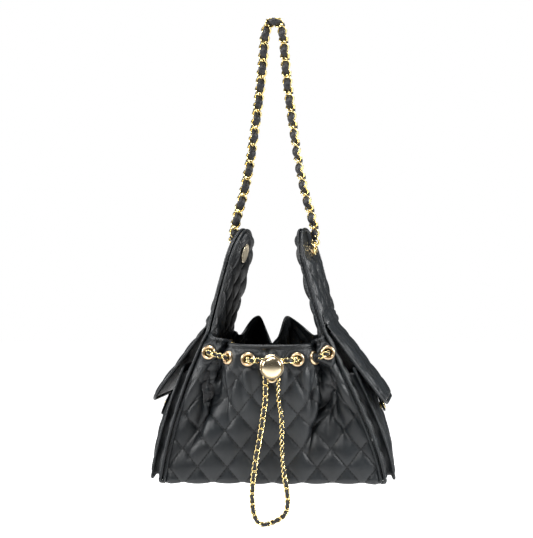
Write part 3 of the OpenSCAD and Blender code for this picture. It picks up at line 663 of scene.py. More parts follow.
# In at the left front eyelet, out and in round the back, and out at the right front eyelet
rimRoute = [
    (-0.0288, -0.0954, -0.415), (-0.0283, -0.088, -0.4154), (-0.027, -0.081, -0.416),
    (-0.032, -0.074, -0.417), (-0.040, -0.0705, -0.417), (-0.046, -0.0706, -0.416),
    (-0.0519, -0.0758, -0.4146), (-0.0578, -0.0815, -0.413), (-0.066, -0.085, -0.4105),
    (-0.076, -0.082, -0.4075), (-0.0757, -0.0723, -0.4085), (-0.0737, -0.064, -0.4095),
    (-0.0705, -0.050, -0.4105), (-0.067, -0.028, -0.4115), (-0.063, 0, -0.412),
    (-0.060, 0.028, -0.412), (-0.0585, 0.052, -0.411), (-0.0597, 0.074, -0.4095),
    (-0.0602, 0.0834, -0.4088), (-0.058, 0.092, -0.4085), (-0.049, 0.094, -0.410),
    (-0.041, 0.0915, -0.412), (-0.0375, 0.086, -0.4133), (-0.0342, 0.0796, -0.4147),
    (-0.0305, 0.0725, -0.416), (-0.0255, 0.0705, -0.4165), (-0.0205, 0.0745, -0.416),
    (-0.0167, 0.0825, -0.4153), (-0.0125, 0.091, -0.4145), (0.002, 0.095, -0.414),
    (0.018, 0.095, -0.414), (0.0247, 0.091, -0.4143), (0.0248, 0.0829, -0.4152),
    (0.026, 0.0745, -0.416), (0.0315, 0.069, -0.4165), (0.0378, 0.0695, -0.416),
    (0.0426, 0.0757, -0.4145), (0.0475, 0.0825, -0.413), (0.058, 0.088, -0.4105),
    (0.070, 0.087, -0.408), (0.0768, 0.081, -0.4076), (0.0737, 0.0731, -0.409),
    (0.0705, 0.064, -0.4103), (0.0675, 0.045, -0.4115), (0.0645, 0.020, -0.412),
    (0.061, -0.010, -0.412), (0.0595, -0.035, -0.4115), (0.061, -0.058, -0.410),
    (0.0636, -0.0757, -0.4088), (0.0652, -0.0835, -0.4078), (0.0655, -0.091, -0.4075),
    (0.058, -0.0925, -0.4105), (0.0545, -0.0845, -0.413), (0.0489, -0.0779, -0.4146),
    (0.0428, -0.073, -0.4161), (0.036, -0.072, -0.417), (0.029, -0.076, -0.4168),
    (0.0278, -0.081, -0.416), (0.0292, -0.0885, -0.4154), (0.0296, -0.0954, -0.415)]
rimPath, rimLength = evenly(rimRoute, 0.0008)
rimTangents = unit(np.gradient(rimPath, axis=0))
rimNormals = np.cross(rimTangents, np.tile([0.0, 0.0, 1.0], (len(rimPath), 1)))
rimNormals = turnedAbout(unit(rimNormals), rimTangents, 14 * np.sin(np.linspace(0, 40, len(rimPath))))
wovenChain("rim", rimPath, rimNormals, stringChain, "bag")
print(f"chains: strap {strapLength:.3f} m, tail {tailLength:.3f} m, rim {rimLength:.3f} m")


# Quilting
def pads(U, V, phase=(0.0, 0.0), sharp=0.37):
    # height of the padding between stitch lines, as a share of a pad's height
    a = (U - phase[0]) / quilt["wide"] + (V - phase[1]) / quilt["high"]
    b = (U - phase[0]) / quilt["wide"] - (V - phase[1]) / quilt["high"]
    return (np.abs(np.sin(math.pi * a)) * np.abs(np.sin(math.pi * b)) + 1e-9) ** sharp


def arcGrid(grid):
    # flat leather coordinates of a surface: lengths along its rows and columns
    dx = np.linalg.norm(np.diff(grid, axis=1), axis=-1)
    U = np.concatenate([np.zeros((len(grid), 1)), np.cumsum(dx, axis=1)], axis=1)
    U = U - U[:, -1:] / 2
    dz = np.linalg.norm(np.diff(grid, axis=0), axis=-1)
    V = np.concatenate([np.zeros((1, grid.shape[1])), np.cumsum(dz, axis=0)], axis=0)
    return U, V


def crease(U, V, start, end, width, depth):
    # a soft valley from start to end in flat coordinates, which fades at both ends
    sx, sy = start
    dx, dy = end[0] - sx, end[1] - sy
    length = math.hypot(dx, dy)
    along = ((U - sx) * dx + (V - sy) * dy) / length ** 2
    off = np.abs((U - sx) * dy - (V - sy) * dx) / length
    return -depth * np.exp(-(off / width) ** 2) * eased(along / 0.12) * eased((1.0 - along) / 0.6)


# How far the back rim stands up between its eyelets: share of the half width, height, and
# the lobe's width to its left and to its right
backLobes = [(-0.225, 0.028, 0.15, 0.085), (-0.045, -0.008, 0.05, 0.05), (0.123, 0.028, 0.07, 0.21)]
footRound = 0.007                      # radius of the lower edge


def panelGrid(side, folds, us, ts, rim=False):
    f = curveAt(folds, (us + 1) / 2 * (len(folds) - 1))
    T, share = np.meshgrid(ts, us, indexing="ij")
    foldX, foldY = f[None, :, 0], f[None, :, 1]
    h = T * (bag["bodyHeight"] - bag["rimDip"] * (1 - share ** 2))
    fade = eased((T - foldStart) / (1 - foldStart))
    x = (halfWidth(h) - cornerInset) * mixed(share, foldX, fade)
    y = side * (halfDepth(h) + fade * foldY + bag["belly"] * np.sin(math.pi * T) * (1 - share ** 2))
    y = y - side * (footRound - np.sqrt(footRound ** 2 - np.clip(footRound - h, 0, footRound) ** 2))
    if side > 0 and rim:
        rise = sum(high * bump(share, u, np.where(share < u, before, after))
                   for u, high, before, after in backLobes)
        over = eased((T - eyeletLevel - 0.02) / (1 - eyeletLevel - 0.02))
        h = h + rise * over
        y = y - 0.5 * rise * over ** 2
    return placed(np.stack([x, y, h], -1), np.abs(share) ** 1.5)


panel = {
    "step": 0.0014, "wide": 0.300, "high": 0.178, "rimRows": 30, "seed": 11,
    "sideFade": 0.010, "footFade": 0.008, "rimBand": 0.0062,       # where the pads thin out
    "gatherStart": 0.42, "gatherRidge": 0.0011, "gathers": (0.0135, 0.0205, 0.031),
    "sag": 0.0007, "sagWide": (0.021, 0.034), "sagHigh": (0.017, 0.026),
    "rimBead": 0.0009, "rimGroove": 0.0007, "eyeletFlat": 0.0092, "hole": 0.0056,
}

# The smooth middle of the front, between two deep folds. Its edges, as shares of the half
# width, are given for a row of levels from the base to the rim.
middle = {"levels": (0, 0.23, 0.42, 0.50, 0.63, 0.74, 0.82, 0.92, 1.0),
          "left": (-0.80, -0.74, -0.64, -0.57, -0.52, -0.59, -0.62, -0.65, -0.68),
          "right": (0.26, 0.32, 0.385, 0.43, 0.52, 0.60, 0.62, 0.65, 0.68),
          "soft": 0.024, "back": 0.0110, "valley": 0.0060, "valleyWidth": 0.032}


def middleShape(share, T):
    # the panel falls back beside the middle, with a valley right next to it
    left = np.interp(T, middle["levels"], middle["left"])
    right = np.interp(T, middle["levels"], middle["right"])
    inside = (1 / (1 + np.exp(-(share - left) / middle["soft"]))
              / (1 + np.exp(-(right - share) / middle["soft"])))
    valley = (bump(share, left - middle["valleyWidth"], middle["valleyWidth"])
              + bump(share, right + middle["valleyWidth"], middle["valleyWidth"]))
    level = eased((T - 0.10) / 0.35) * (1 - 0.65 * eased((T - 0.80) / 0.18))
    return -level * (middle["back"] * (1 - inside) + middle["valley"] * valley)


shaped = {}                            # the bent panels, which the lining follows


def eyeletPlaces(side, folds, eyelets):
    # middle of each eyelet on the outer face, and the way it faces
    found = []
    for u in eyelets:
        spot = panelGrid(side, folds, np.array([u - 0.004 * side, u, u + 0.004 * side])[::-1],
                         np.array([eyeletLevel - 0.004, eyeletLevel, eyeletLevel + 0.004]))
        found.append((spot[1, 1], normalsOf(spot)[1, 1]))
    return found


def gatheredPanel(name, side, folds, eyelets, phase, creases, replaced):
    rng = np.random.default_rng(panel["seed"] + side)
    us = np.linspace(-1, 1, int(panel["wide"] / panel["step"]) + 1)[::-side]
    ts = np.linspace(0, 1, int(panel["high"] / panel["step"]) + 1)
    if side > 0:                       # more rows where the rim stands up
        ts = np.concatenate([ts[ts < eyeletLevel], np.linspace(eyeletLevel, 1, panel["rimRows"])])
    base = panelGrid(side, folds, us, ts, rim=True)
    U, V = arcGrid(base)
    T = np.broadcast_to(ts[:, None], U.shape)
    toSide = fromSides(U)
    toRim = V[-1:] - V
    edge = (eased(toSide / panel["sideFade"]) * eased(V / panel["footFade"])
            * eased((toRim - panel["rimBand"]) / 0.006))
    gather = eased((T - panel["gatherStart"]) / 0.5)
    puff = quilt["puff"] * pads(U, V, phase) * edge * (1 - 0.45 * gather)
    # small gathers that run up into the rim
    ridges = sum(np.sin(2 * math.pi * U / w + p + 0.9 * np.sin(V / 0.021 + p))
                 for w, p in zip(panel["gathers"], rng.uniform(0, 6.3, 3)))
    shape = (panel["gatherRidge"] * ridges * gather * eased((toRim - 0.004) / 0.014)
             * eased(toSide / 0.012))
    for start, end, width, depth in creases:
        shape += crease(U, V, start, end, width, depth)
    sag = sum(np.sin(U / a + p) * np.sin(V / b + 2 * p) for a, b, p in
              zip(panel["sagWide"], panel["sagHigh"], rng.uniform(0, 6.3, 2)))
    shape += panel["sag"] * sag * edge
    if side < 0:
        shape += middleShape(np.broadcast_to(us[None, :], U.shape), T) * eased(toSide / 0.030)
    puff += panel["rimBead"] * bump(toRim, 0.0014, 0.0014)
    puff -= panel["rimGroove"] * bump(toRim, quilt["hem"], 0.0009)
    plain = base
    flats = []
    for centre, normal in eyeletPlaces(side, folds, eyelets):
        away = np.linalg.norm(plain - centre, axis=-1)
        shape *= eased((away - 0.0095) / 0.008)
        puff *= eased((away - 0.0088) / 0.006)
        flats.append((centre, normal, 1 - eased((away - panel["eyeletFlat"]) / 0.006)))
    base = plain + normalsOf(plain) * shape[..., None]
    for centre, normal, share in flats:
        base = base - normal * (np.sum((base - centre) * normal, -1) * share)[..., None]
    holes = [(centre - normal * bag["panel"] / 2, normal, panel["hole"])
             for centre, normal, share in flats]
    shaped[side] = (us, ts, base)
    mesh = shellMesh(name, base, bag["panel"], pair(U - phase[0], V - phase[1]), puff,
                     pair(U, toRim), holes)
    piece = finished(mesh, name, leather, "bag", replaced)
    return piece


# Creases from the eyelets down: start, end, width, depth
frontCreases = [
    ((-0.088, 0.156), (-0.112, 0.050), 0.0040, 0.0042),
    ((-0.080, 0.150), (-0.092, 0.040), 0.0044, 0.0046),
    ((-0.072, 0.148), (-0.062, 0.062), 0.0036, 0.0040),
    ((-0.060, 0.150), (-0.044, 0.060), 0.0038, 0.0046),
    ((-0.054, 0.168), (-0.050, 0.112), 0.0026, 0.0030),
    ((-0.036, 0.145), (-0.050, 0.080), 0.0032, 0.0024),
    ((-0.022, 0.146), (-0.014, 0.100), 0.0028, 0.0014),
    ((0.000, 0.168), (0.001, 0.126), 0.0032, 0.0048), ((0.024, 0.146), (0.018, 0.098), 0.0028, 0.0014),
    ((0.036, 0.146), (0.052, 0.078), 0.0034, 0.0026), ((0.056, 0.168), (0.052, 0.110), 0.0026, 0.0030),
    ((0.062, 0.150), (0.046, 0.058), 0.0038, 0.0046), ((0.074, 0.148), (0.068, 0.048), 0.0038, 0.0044),
    ((0.082, 0.150), (0.092, 0.036), 0.0044, 0.0048), ((0.090, 0.156), (0.114, 0.052), 0.0040, 0.0042),
    ((0.092, 0.120), (0.078, 0.070), 0.0034, 0.0030), ((-0.094, 0.122), (-0.078, 0.074), 0.0034, 0.0030)]
backCreases = [
    ((-0.080, 0.150), (-0.095, 0.066), 0.0042, 0.0028),
    ((-0.060, 0.150), (-0.050, 0.080), 0.0036, 0.0022),
    ((-0.025, 0.148), (-0.033, 0.090), 0.0034, 0.0020),
    ((0.002, 0.150), (0.000, 0.095), 0.0036, 0.0022), ((0.030, 0.148), (0.040, 0.085), 0.0034, 0.0022),
    ((0.064, 0.150), (0.054, 0.075), 0.0036, 0.0024), ((0.084, 0.150), (0.096, 0.064), 0.0042, 0.0028)]
gatheredPanel("frontPanel", -1, frontFolds, frontEyelets, (-0.0355, 0.0458), frontCreases,
              ["front_panel"])
gatheredPanel("backPanel", 1, backFolds, backEyelets, (0.0, 0.0458), backCreases, ["back_panel"])
print("front and back panels are gathered")


# Sides with their horns
def sideRows(start, step):
    # heights of the rows, closer together over the round top
    straight = np.linspace(start, roundHeight, max(int((roundHeight - start) / step), 4))
    steps = max(int(bag["hornWidth"] * 0.785 / step), 8)
    top = roundHeight + bag["hornWidth"] / 2 * np.sin(np.linspace(0, math.pi / 2, steps)[1:])
    return np.concatenate([straight, top])


def sideGrid(side, heights, depth, inset, cols):
    vs = np.linspace(-1, 1, cols + 1) * side
    H, v = np.meshgrid(heights, vs, indexing="ij")
    y = v * np.maximum(halfDepth(H) - inset, 0)
    return placed(np.stack([side * (halfWidth(H) - depth), y, H], -1))


sidePanel = {"step": 0.0015, "puff": 0.0050, "phase": (0.0, 0.006),
             "underPocket": 0.85, "pocketTop": 0.206,          # flattened share, and up to where
             "underStrap": 0.93, "strapStart": -0.016}         # the same from below the post
facing = {"start": -0.018, "puff": 0.0054, "phase": (0.004, 0.012), "sunk": 0.0035, "capFlat": 0.0125}
for side, word in ((-1, "left"), (1, "right")):
    heights = sideRows(0, sidePanel["step"])
    base = sideGrid(side, heights, 0, 0, int(0.150 / sidePanel["step"]))
    U, V = arcGrid(base)
    toSide = fromSides(U)
    edge = eased(toSide / 0.007) * eased(V / 0.008) * eased((V[-1:] - V) / 0.006)
    post = placed([side * halfWidth(postHeight), 0.0, postHeight])
    away = np.linalg.norm(base - post, axis=-1)
    puff = sidePanel["puff"] * pads(U, V, sidePanel["phase"]) * edge * eased((away - 0.008) / 0.006)
    # level with the pocket and the flap's root the side lies flat under them
    H = np.broadcast_to(heights[:, None], U.shape)
    underPocket = eased((0.060 - np.abs(U)) / 0.006) * eased((sidePanel["pocketTop"] - H) / 0.012)
    puff *= 1 - sidePanel["underPocket"] * underPocket
    # and its top is flat where the strap passes over it as the bag swings
    puff *= 1 - sidePanel["underStrap"] * eased((H - postHeight - sidePanel["strapStart"]) / 0.012)
    mesh = shellMesh(word + "Side", base, bag["panel"],
                     pair(U - sidePanel["phase"][0], V - sidePanel["phase"][1]), puff, pair(V, toSide))
    piece = finished(mesh, word + "Side", leather, "bag", [word + "_side_panel"])

    # padded facing on the inside of the horn, seen with its columns the other way round
    heights = sideRows(bag["bodyHeight"] + facing["start"], sidePanel["step"])
    base = sideGrid(side, heights, cornerInset + bag["facing"] - 0.0014, 0.0015,
                    int(0.128 / sidePanel["step"]))[:, ::-1]
    U, V = arcGrid(base)
    toSide = fromSides(U)
    edge = eased(toSide / 0.006) * eased((V[-1:] - V) / 0.006)
    cap = placed([side * (halfWidth(postHeight) - 0.009), 0.0, postHeight])
    away = np.linalg.norm(base - cap, axis=-1)
    puff = facing["puff"] * pads(U, V, facing["phase"]) * edge * eased((away - facing["capFlat"]) / 0.006)
    puff -= facing["sunk"] * (1 - edge)
    mesh = shellMesh(word + "Facing", base, bag["facing"] - 0.0016,
                     pair(U - facing["phase"][0], V - facing["phase"][1]), puff, pair(V, toSide))
    piece = finished(mesh, word + "Facing", leather, "bag", [word + "_horn_facing"])


# Piping along the side seams and over the horns
def seamPath(side, outward, gap):
    heights = np.concatenate([np.linspace(0.0035, bag["bodyHeight"], 26),
                              np.linspace(bag["bodyHeight"], roundHeight, 12)[1:]])
    angles = np.radians(np.linspace(180, 0, 30)[1:-1])
    half = bag["hornWidth"] / 2 + gap

    def spot(end, h):
        return [side * (halfWidth(h) + outward), end * (halfDepth(h) + gap), h]

    def tuckedUnder(end):
        x, y, _ = spot(end, 0.0)
        return [x - side * 0.004, y - end * 0.010, 0.0004]

    up = [tuckedUnder(-1)] + [spot(-1, h) for h in heights]
    over = [[side * (halfWidth(roundHeight + half * math.sin(a)) + outward), half * math.cos(a),
             roundHeight + half * math.sin(a)] for a in angles]
    down = [spot(1, h) for h in heights[::-1]] + [tuckedUnder(1)]
    return placed(np.array(up + over + down, float))


pipe = {"radius": bag["piping"], "pucker": 0.00014, "beat": 0.0042}
edgeGap = bag["seat"] + bag["piping"]


def pipingPiece(name, route, body, replaced=(), radius=None, closed=False):
    path, length = evenly(route, 0.0011)
    if closed:
        path = path[:-1]
    normals = np.tile([0.3, 0.9, 0.2], (len(path), 1))
    wave = pipe["pucker"] * np.sin(np.arange(len(path)) * 0.0011 / pipe["beat"] * 2 * math.pi)
    r = (radius or pipe["radius"]) + wave
    mesh = tubeMesh(name, path, normals, r, r, 10, closed)
    return finished(mesh, name, plainLeather, body, replaced)


for side, word in ((-1, "left"), (1, "right")):
    pipingPiece(word + "Piping", seamPath(side, -0.0003, edgeGap), "bag", [word + "_piping"])
    pipingPiece(word + "InnerPiping", seamPath(side, -0.0056, edgeGap - 0.0006), "bag", radius=0.0017)
print("sides, horns and seams are sewn")


# Pockets and flaps
pocket = {"width": 0.108, "height": 0.128, "base": 0.006, "depth": 0.013, "bulge": 0.007,
          "thick": 0.0024, "gussetThick": 0.0014, "snapHeight": 0.086, "puff": 0.0021}
flap = {"width": 0.112, "length": 0.106, "thick": 0.0034, "lean": 37.5, "corner": 0.022,
        "rootThick": 0.0034, "rootRise": 0.020, "rootStart": 0.006,
        "skin": 0.0030, "puff": 0.0036, "crown": 0.0016}
hingeHeight = bag["bodyHeight"] + 0.003
hingeX = float(halfWidth(hingeHeight)) + bag["seat"] + flap["rootThick"] + bag["piping"]


def pocketX(h, y):
    across = 1 - (2 * y / pocket["width"]) ** 2
    up = np.sin(math.pi * np.clip((h - pocket["base"]) / pocket["height"], 0, 1))
    return halfWidth(h) + pocket["depth"] + pocket["bulge"] * across * up


def hingePoint(side, x, y, z):
    # from the flap's own frame, which runs along +X with its outer face up, to the bag
    lean = math.radians(90 - flap["lean"])
    p = np.stack(np.broadcast_arrays(side * (hingeX + x * math.cos(lean) + z * math.sin(lean)),
                                     side * y, hingeHeight - x * math.sin(lean) + z * math.cos(lean)), -1)
    return spun(p, turnAt(hingeHeight)) + np.array([0, 0, baseZ])


# Closing tab in the snap's frame, down the pocket's face: where its top and its tip are
tab = {"width": 0.024, "thick": 0.0024, "lift": 0.0024, "left": (-0.011, 0.017), "right": (-0.026, 0.009)}


def snapPoint(side, x, y, z):
    # from the snap's frame, which runs down the pocket with its face outwards, to the bag
    rise = 0.001
    lean = math.pi / 2 - math.atan(float(pocketX(pocket["snapHeight"] - rise, 0.0)
                                         - pocketX(pocket["snapHeight"] + rise, 0.0)) / 2 / rise)
    middleX = float(pocketX(pocket["snapHeight"], 0.0))
    p = np.stack(np.broadcast_arrays(side * (middleX + x * math.cos(lean) + z * math.sin(lean)), side * y,
                                     pocket["snapHeight"] - x * math.sin(lean) + z * math.cos(lean)), -1)
    return spun(p, turnAt(pocket["snapHeight"])) + np.array([0, 0, baseZ])


def roundedHalf(x, width, length, corner):
    # half width of a strap with rounded corners at its end
    over = np.clip((x - (length - corner)) / corner, 0, 1)
    return width / 2 - corner * (1 - np.sqrt(1 - over ** 2))


def rootTop(v, s=1.0):
    # height of the arched seam over the flap's root, or of a share of the way up to it
    arch = flap["rootStart"] + flap["rootRise"] * np.sqrt(np.maximum(1 - v ** 2, 0))
    return hingeHeight + flap["thick"] / 2 + s * arch


for side, word in ((-1, "left"), (1, "right")):
    # face
    hs = pocket["base"] + np.linspace(0, pocket["height"], 90)
    ys = np.linspace(-1, 1, 76) * pocket["width"] / 2 * side
    H, Y = np.meshgrid(hs, ys, indexing="ij")
    base = placed(np.stack([side * pocketX(H, Y), Y, H], -1))
    U, V = arcGrid(base)
    edge = eased(fromSides(U) / 0.006) * eased(np.minimum(V, V[-1:] - V) / 0.006)
    snap = placed([side * float(pocketX(pocket["snapHeight"], 0.0)), 0.0, pocket["snapHeight"]])
    away = np.linalg.norm(base - snap, axis=-1)
    puff = pocket["puff"] * pads(U, V, (0.0, 0.010)) * edge * eased((away - 0.006) / 0.006)
    mesh = shellMesh(word + "Pocket", base, pocket["thick"], pair(U, V - 0.010), puff,
                     pair(U, V[-1:] - V))
    piece = finished(mesh, word + "Pocket", leather, "bag", [word + "_pocket_face"])

    # gusset: a strip down the front, along the bottom and up the back
    half, low = pocket["width"] / 2 - 0.001, pocket["base"] + 0.001
    high = pocket["base"] + pocket["height"] - 0.003
    route = np.array([(-half, h) for h in np.linspace(high, low, 40)]
                     + [(y, low) for y in np.linspace(-half, half, 34)[1:-1]]
                     + [(half, h) for h in np.linspace(low, high, 40)])
    ins = np.linspace(0, 1, 9)
    H = route[None, :, 1] + ins[:, None] * 0
    Y = route[None, :, 0] + ins[:, None] * 0
    behindFace = pocketX(H, pocket["width"] / 2) - pocket["thick"] - bag["seat"]
    X = mixed(halfWidth(H) + bag["seat"], behindFace, ins[:, None])
    ripple = 1 + 0.6 * np.sin(np.arange(len(route)) * 0.55)
    soft = 0.0014 * np.sin(math.pi * ins)[:, None] * ripple[None, :]
    Y = Y - np.sign(Y) * soft * (np.abs(route[:, 0]) > half - 0.001)[None, :]
    H = H + soft * (np.abs(route[:, 0]) < half - 0.001)[None, :]
    base = placed(np.stack([side * X, side * Y, H], -1))
    U, V = arcGrid(base)
    mesh = shellMesh(word + "Gusset", base, pocket["gussetThick"], pair(U, V))
    finished(mesh, word + "Gusset", plainLeather, "bag", [word + "_pocket_gusset"])

    # binding round the face
    w, out, diagonal = pocket["width"] / 2, pocket["width"] / 2 + edgeGap, edgeGap * 0.71
    low, high = pocket["base"], pocket["base"] + pocket["height"]
    plan = ([(-out, h) for h in np.linspace(low, high, 9)] + [(-w - diagonal, high + diagonal)]
            + [(y, high + edgeGap) for y in np.linspace(-w, w, 8)] + [(w + diagonal, high + diagonal)]
            + [(out, h) for h in np.linspace(high, low, 9)] + [(w + diagonal, low - diagonal)]
            + [(y, low - edgeGap) for y in np.linspace(w, -w, 8)]
            + [(-w - diagonal, low - diagonal), (-out, low)])
    ring = placed([[side * (float(pocketX(h, w)) - pocket["thick"] / 2), y, h] for y, h in plan])
    pipingPiece(word + "PocketPiping", ring, "bag", [word + "_pocket_piping"], closed=True)

    # flap: one skin from the arched seam on the side, over the hinge and down to the tip
    cols = 80
    vs = np.linspace(-1, 1, cols + 1)
    xs = np.concatenate([np.linspace(flap["length"], flap["length"] - flap["corner"], 22)[:-1],
                         np.linspace(flap["length"] - flap["corner"], 0.002, 58)])
    rowsBelow = []
    for x in xs:
        half = float(roundedHalf(x, flap["width"], flap["length"], flap["corner"]))
        rowsBelow.append(hingePoint(side, x, vs * half, flap["thick"] / 2))
    rowsAbove = []
    for s in np.linspace(0.16, 1, 16):
        h = rootTop(vs, s)
        x = halfWidth(h) + bag["seat"] + flap["rootThick"]
        rowsAbove.append(placed(np.stack([side * x, side * vs * flap["width"] / 2, h], -1)))
    base = np.array(rowsBelow + rowsAbove)
    joint = len(rowsBelow)
    for _ in range(30):
        base[joint - 5:joint + 4] = (base[joint - 6:joint + 3] + 2 * base[joint - 5:joint + 4]
                                     + base[joint - 4:joint + 5]) / 4
    U, V = arcGrid(base)
    toSide = fromSides(U)
    toTip = V
    edge = eased(toSide / 0.008) * eased(toTip / 0.008) * eased((V[-1:] - V) / 0.006)
    crown = flap["crown"] * eased(toSide / 0.03) * eased(toTip / 0.03)
    flatHinge = 1 - 0.5 * bump(np.arange(len(base)), joint, 5)[:, None]
    puff = (flap["puff"] * pads(U, V) * flatHinge + crown) * edge
    mesh = shellMesh(word + "Flap", base, flap["skin"], pair(U, V), puff, pair(U, toTip))
    piece = finished(mesh, word + "Flap", leather, None,
                     [word + "_flap_panel", word + "_flap_root"])
    tip = hingePoint(side, 0.010, 0.0, 0.0)
    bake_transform(piece)

    w, corner = flap["width"] / 2 + edgeGap, flap["corner"] + edgeGap
    straight = flap["length"] - flap["corner"]
    bends = np.radians(np.linspace(0, 90, 8))
    plan = ([(x, -w) for x in np.linspace(0.001, straight, 6)[:-1]]
            + [(straight + corner * math.sin(a), -w + corner * (1 - math.cos(a))) for a in bends]
            + [(straight + corner * math.sin(a), w - corner * (1 - math.cos(a))) for a in bends[::-1]]
            + [(x, w) for x in np.linspace(straight, 0.001, 6)[1:]])
    route = np.array([hingePoint(side, x, y, 0.0) for x, y in plan])
    pipingPiece(word + "FlapPiping", route, word + "_flap", [word + "_flap_piping"])
    across = np.linspace(-1, 1, 31)
    h = rootTop(across)
    seam = placed(np.stack([side * (halfWidth(h) + 0.0016), side * across * flap["width"] / 2, h], -1))
    pipingPiece(word + "RootPiping", seam, "bag", radius=0.0012)

    # closing tab, with its rounded end down
    top, tip = tab[word]
    xs = np.concatenate([tip - tab["width"] / 2 * (1 - np.cos(np.linspace(0, math.pi / 2, 14)))[:-1],
                         np.linspace(tip - tab["width"] / 2, top, 14)])
    base = np.array([snapPoint(side, x, np.linspace(-1, 1, 25)
                               * float(roundedHalf(x, tab["width"], tip, tab["width"] / 2)),
                               tab["lift"] + tab["thick"]) for x in xs])
    U, V = arcGrid(base)
    toSide = np.minimum(fromSides(U), tip - xs[:, None])
    puff = 0.0007 * eased(toSide / 0.003) - 0.0004 * bump(toSide, 0.0042, 0.0009)
    mesh = shellMesh(word + "Tab", base, tab["thick"], pair(U + 9, V), puff, pair(V, toSide))
    piece = finished(mesh, word + "Tab", leather, word + "_flap", [word + "_flap_tab"])
print("pockets and flaps are sewn")


# Turned and plated pieces
def lathe(name, profile, origin, axis, material, body, replaced=(), steps=48):
    # profile is (radius, height) from the axis at the bottom to the axis at the top
    bm = bmesh.new()
    verts = [bm.verts.new((r, 0, z)) for r, z in profile]
    edges = [bm.edges.new(ends) for ends in zip(verts, verts[1:])]
    bmesh.ops.spin(bm, geom=verts + edges, cent=(0, 0, 0), axis=(0, 0, 1), angle=2 * math.pi,
                   steps=steps, use_merge=True)
    bmesh.ops.remove_doubles(bm, verts=bm.verts, dist=1e-6)
    bmesh.ops.recalc_face_normals(bm, faces=bm.faces)
    turnTo = Vector((0, 0, 1)).rotation_difference(Vector(axis)).to_matrix().to_4x4()
    bmesh.ops.transform(bm, verts=bm.verts, matrix=Matrix.Translation(Vector(origin)) @ turnTo)
    return finished(toMesh(bm, name), name, material, body, replaced)


def plated(node, metal):
    nodes[node].data.materials.clear()
    nodes[node].data.materials.append(metal)


# Eyelets: a rounded ring in front, a barrel and a washer behind
eyelet = {"bore": 0.0047, "ring": 0.0019, "rise": 0.0024, "lift": 0.0014, "steps": 36}
ringProfile = [(eyelet["bore"] + eyelet["ring"] * (1 - math.cos(a)),
                eyelet["lift"] + eyelet["rise"] * math.sin(a))
               for a in np.radians(np.linspace(0, 180, 13))]
washerProfile = [(0.0085, 0.0010), (0.0058, 0.0010), (0.0058, -0.0016), (0.0069, -0.0016),
                 (0.0072, -0.0022), (0.0069, -0.0027), (eyelet["bore"], -0.0026)]
eyeletProfile = [(eyelet["bore"], -0.0026)] + ringProfile + washerProfile
for side, word, folds, places in ((-1, "front", frontFolds, frontEyelets),
                                  (1, "back", backFolds, backEyelets)):
    whole = bmesh.new()
    for centre, normal in eyeletPlaces(side, folds, places):
        centre = centre - normal * bag["panel"] / 2
        part = lathe("part", eyeletProfile, centre, normal, rimGold, None,
                     steps=eyelet["steps"])
        whole.from_mesh(part.data)
        bpy.data.objects.remove(part)
    mesh = toMesh(whole, word + "Eyelets")
    finished(mesh, word + "Eyelets", rimGold, "bag", [word + "_eyelets"])

# Slider: a back disc, the bored guide, a front disc with a raised edge, and the domed cap
sliderAt, sliderAxis = (0, tailY, baseZ + 0.141), (0, -1, 0)
front = [(0, 0.0040), (0.0128, 0.0040), (0.0137, 0.0045), (0.0140, 0.0054), (0.0137, 0.0062),
         (0.0128, 0.0068), (0.0124, 0.0066), (0.0122, 0.0058), (0, 0.0058)]
back = [(0, -0.0085), (0.0128, -0.0085), (0.0138, -0.0081), (0.0140, -0.0076), (0.0137, -0.0071),
        (0.0128, -0.0069), (0, -0.0069)]
dome = [(0, 0.0052), (0.0117, 0.0052), (0.0120, 0.0060), (0.0118, 0.0071), (0.0112, 0.0080)] + [
    (0.0112 * math.cos(a), 0.0080 + 0.0030 * math.sin(a)) for a in np.radians(np.linspace(15, 90, 8))]
for name, profile, replaced in (("sliderFront", front, []), ("sliderBack", back, ["slider_back"]),
                                ("sliderCap", dome, ["slider_cap"])):
    lathe(name, profile, sliderAt, sliderAxis, paleGold, "slider", replaced, 64)
plated("slider_guide", paleGold)

# small guide loop below the slider, between the two strands
loopShape = {"halfWide": 0.0062, "high": 0.0060, "below": 0.0118, "behind": 0.004, "spots": 19}
arc = np.radians(np.linspace(195, 345, loopShape["spots"]))
loop = np.stack([loopShape["halfWide"] * np.cos(arc), np.full(len(arc), tailY + loopShape["behind"]),
                 sliderAt[2] - loopShape["below"] + loopShape["high"] * np.sin(arc)], -1)
mesh = tubeMesh("sliderLoop", loop, np.tile([0.0, -1.0, 0.0], (len(arc), 1)), 0.0013, 0.0010, 12)
finished(mesh, "sliderLoop", paleGold, "slider")

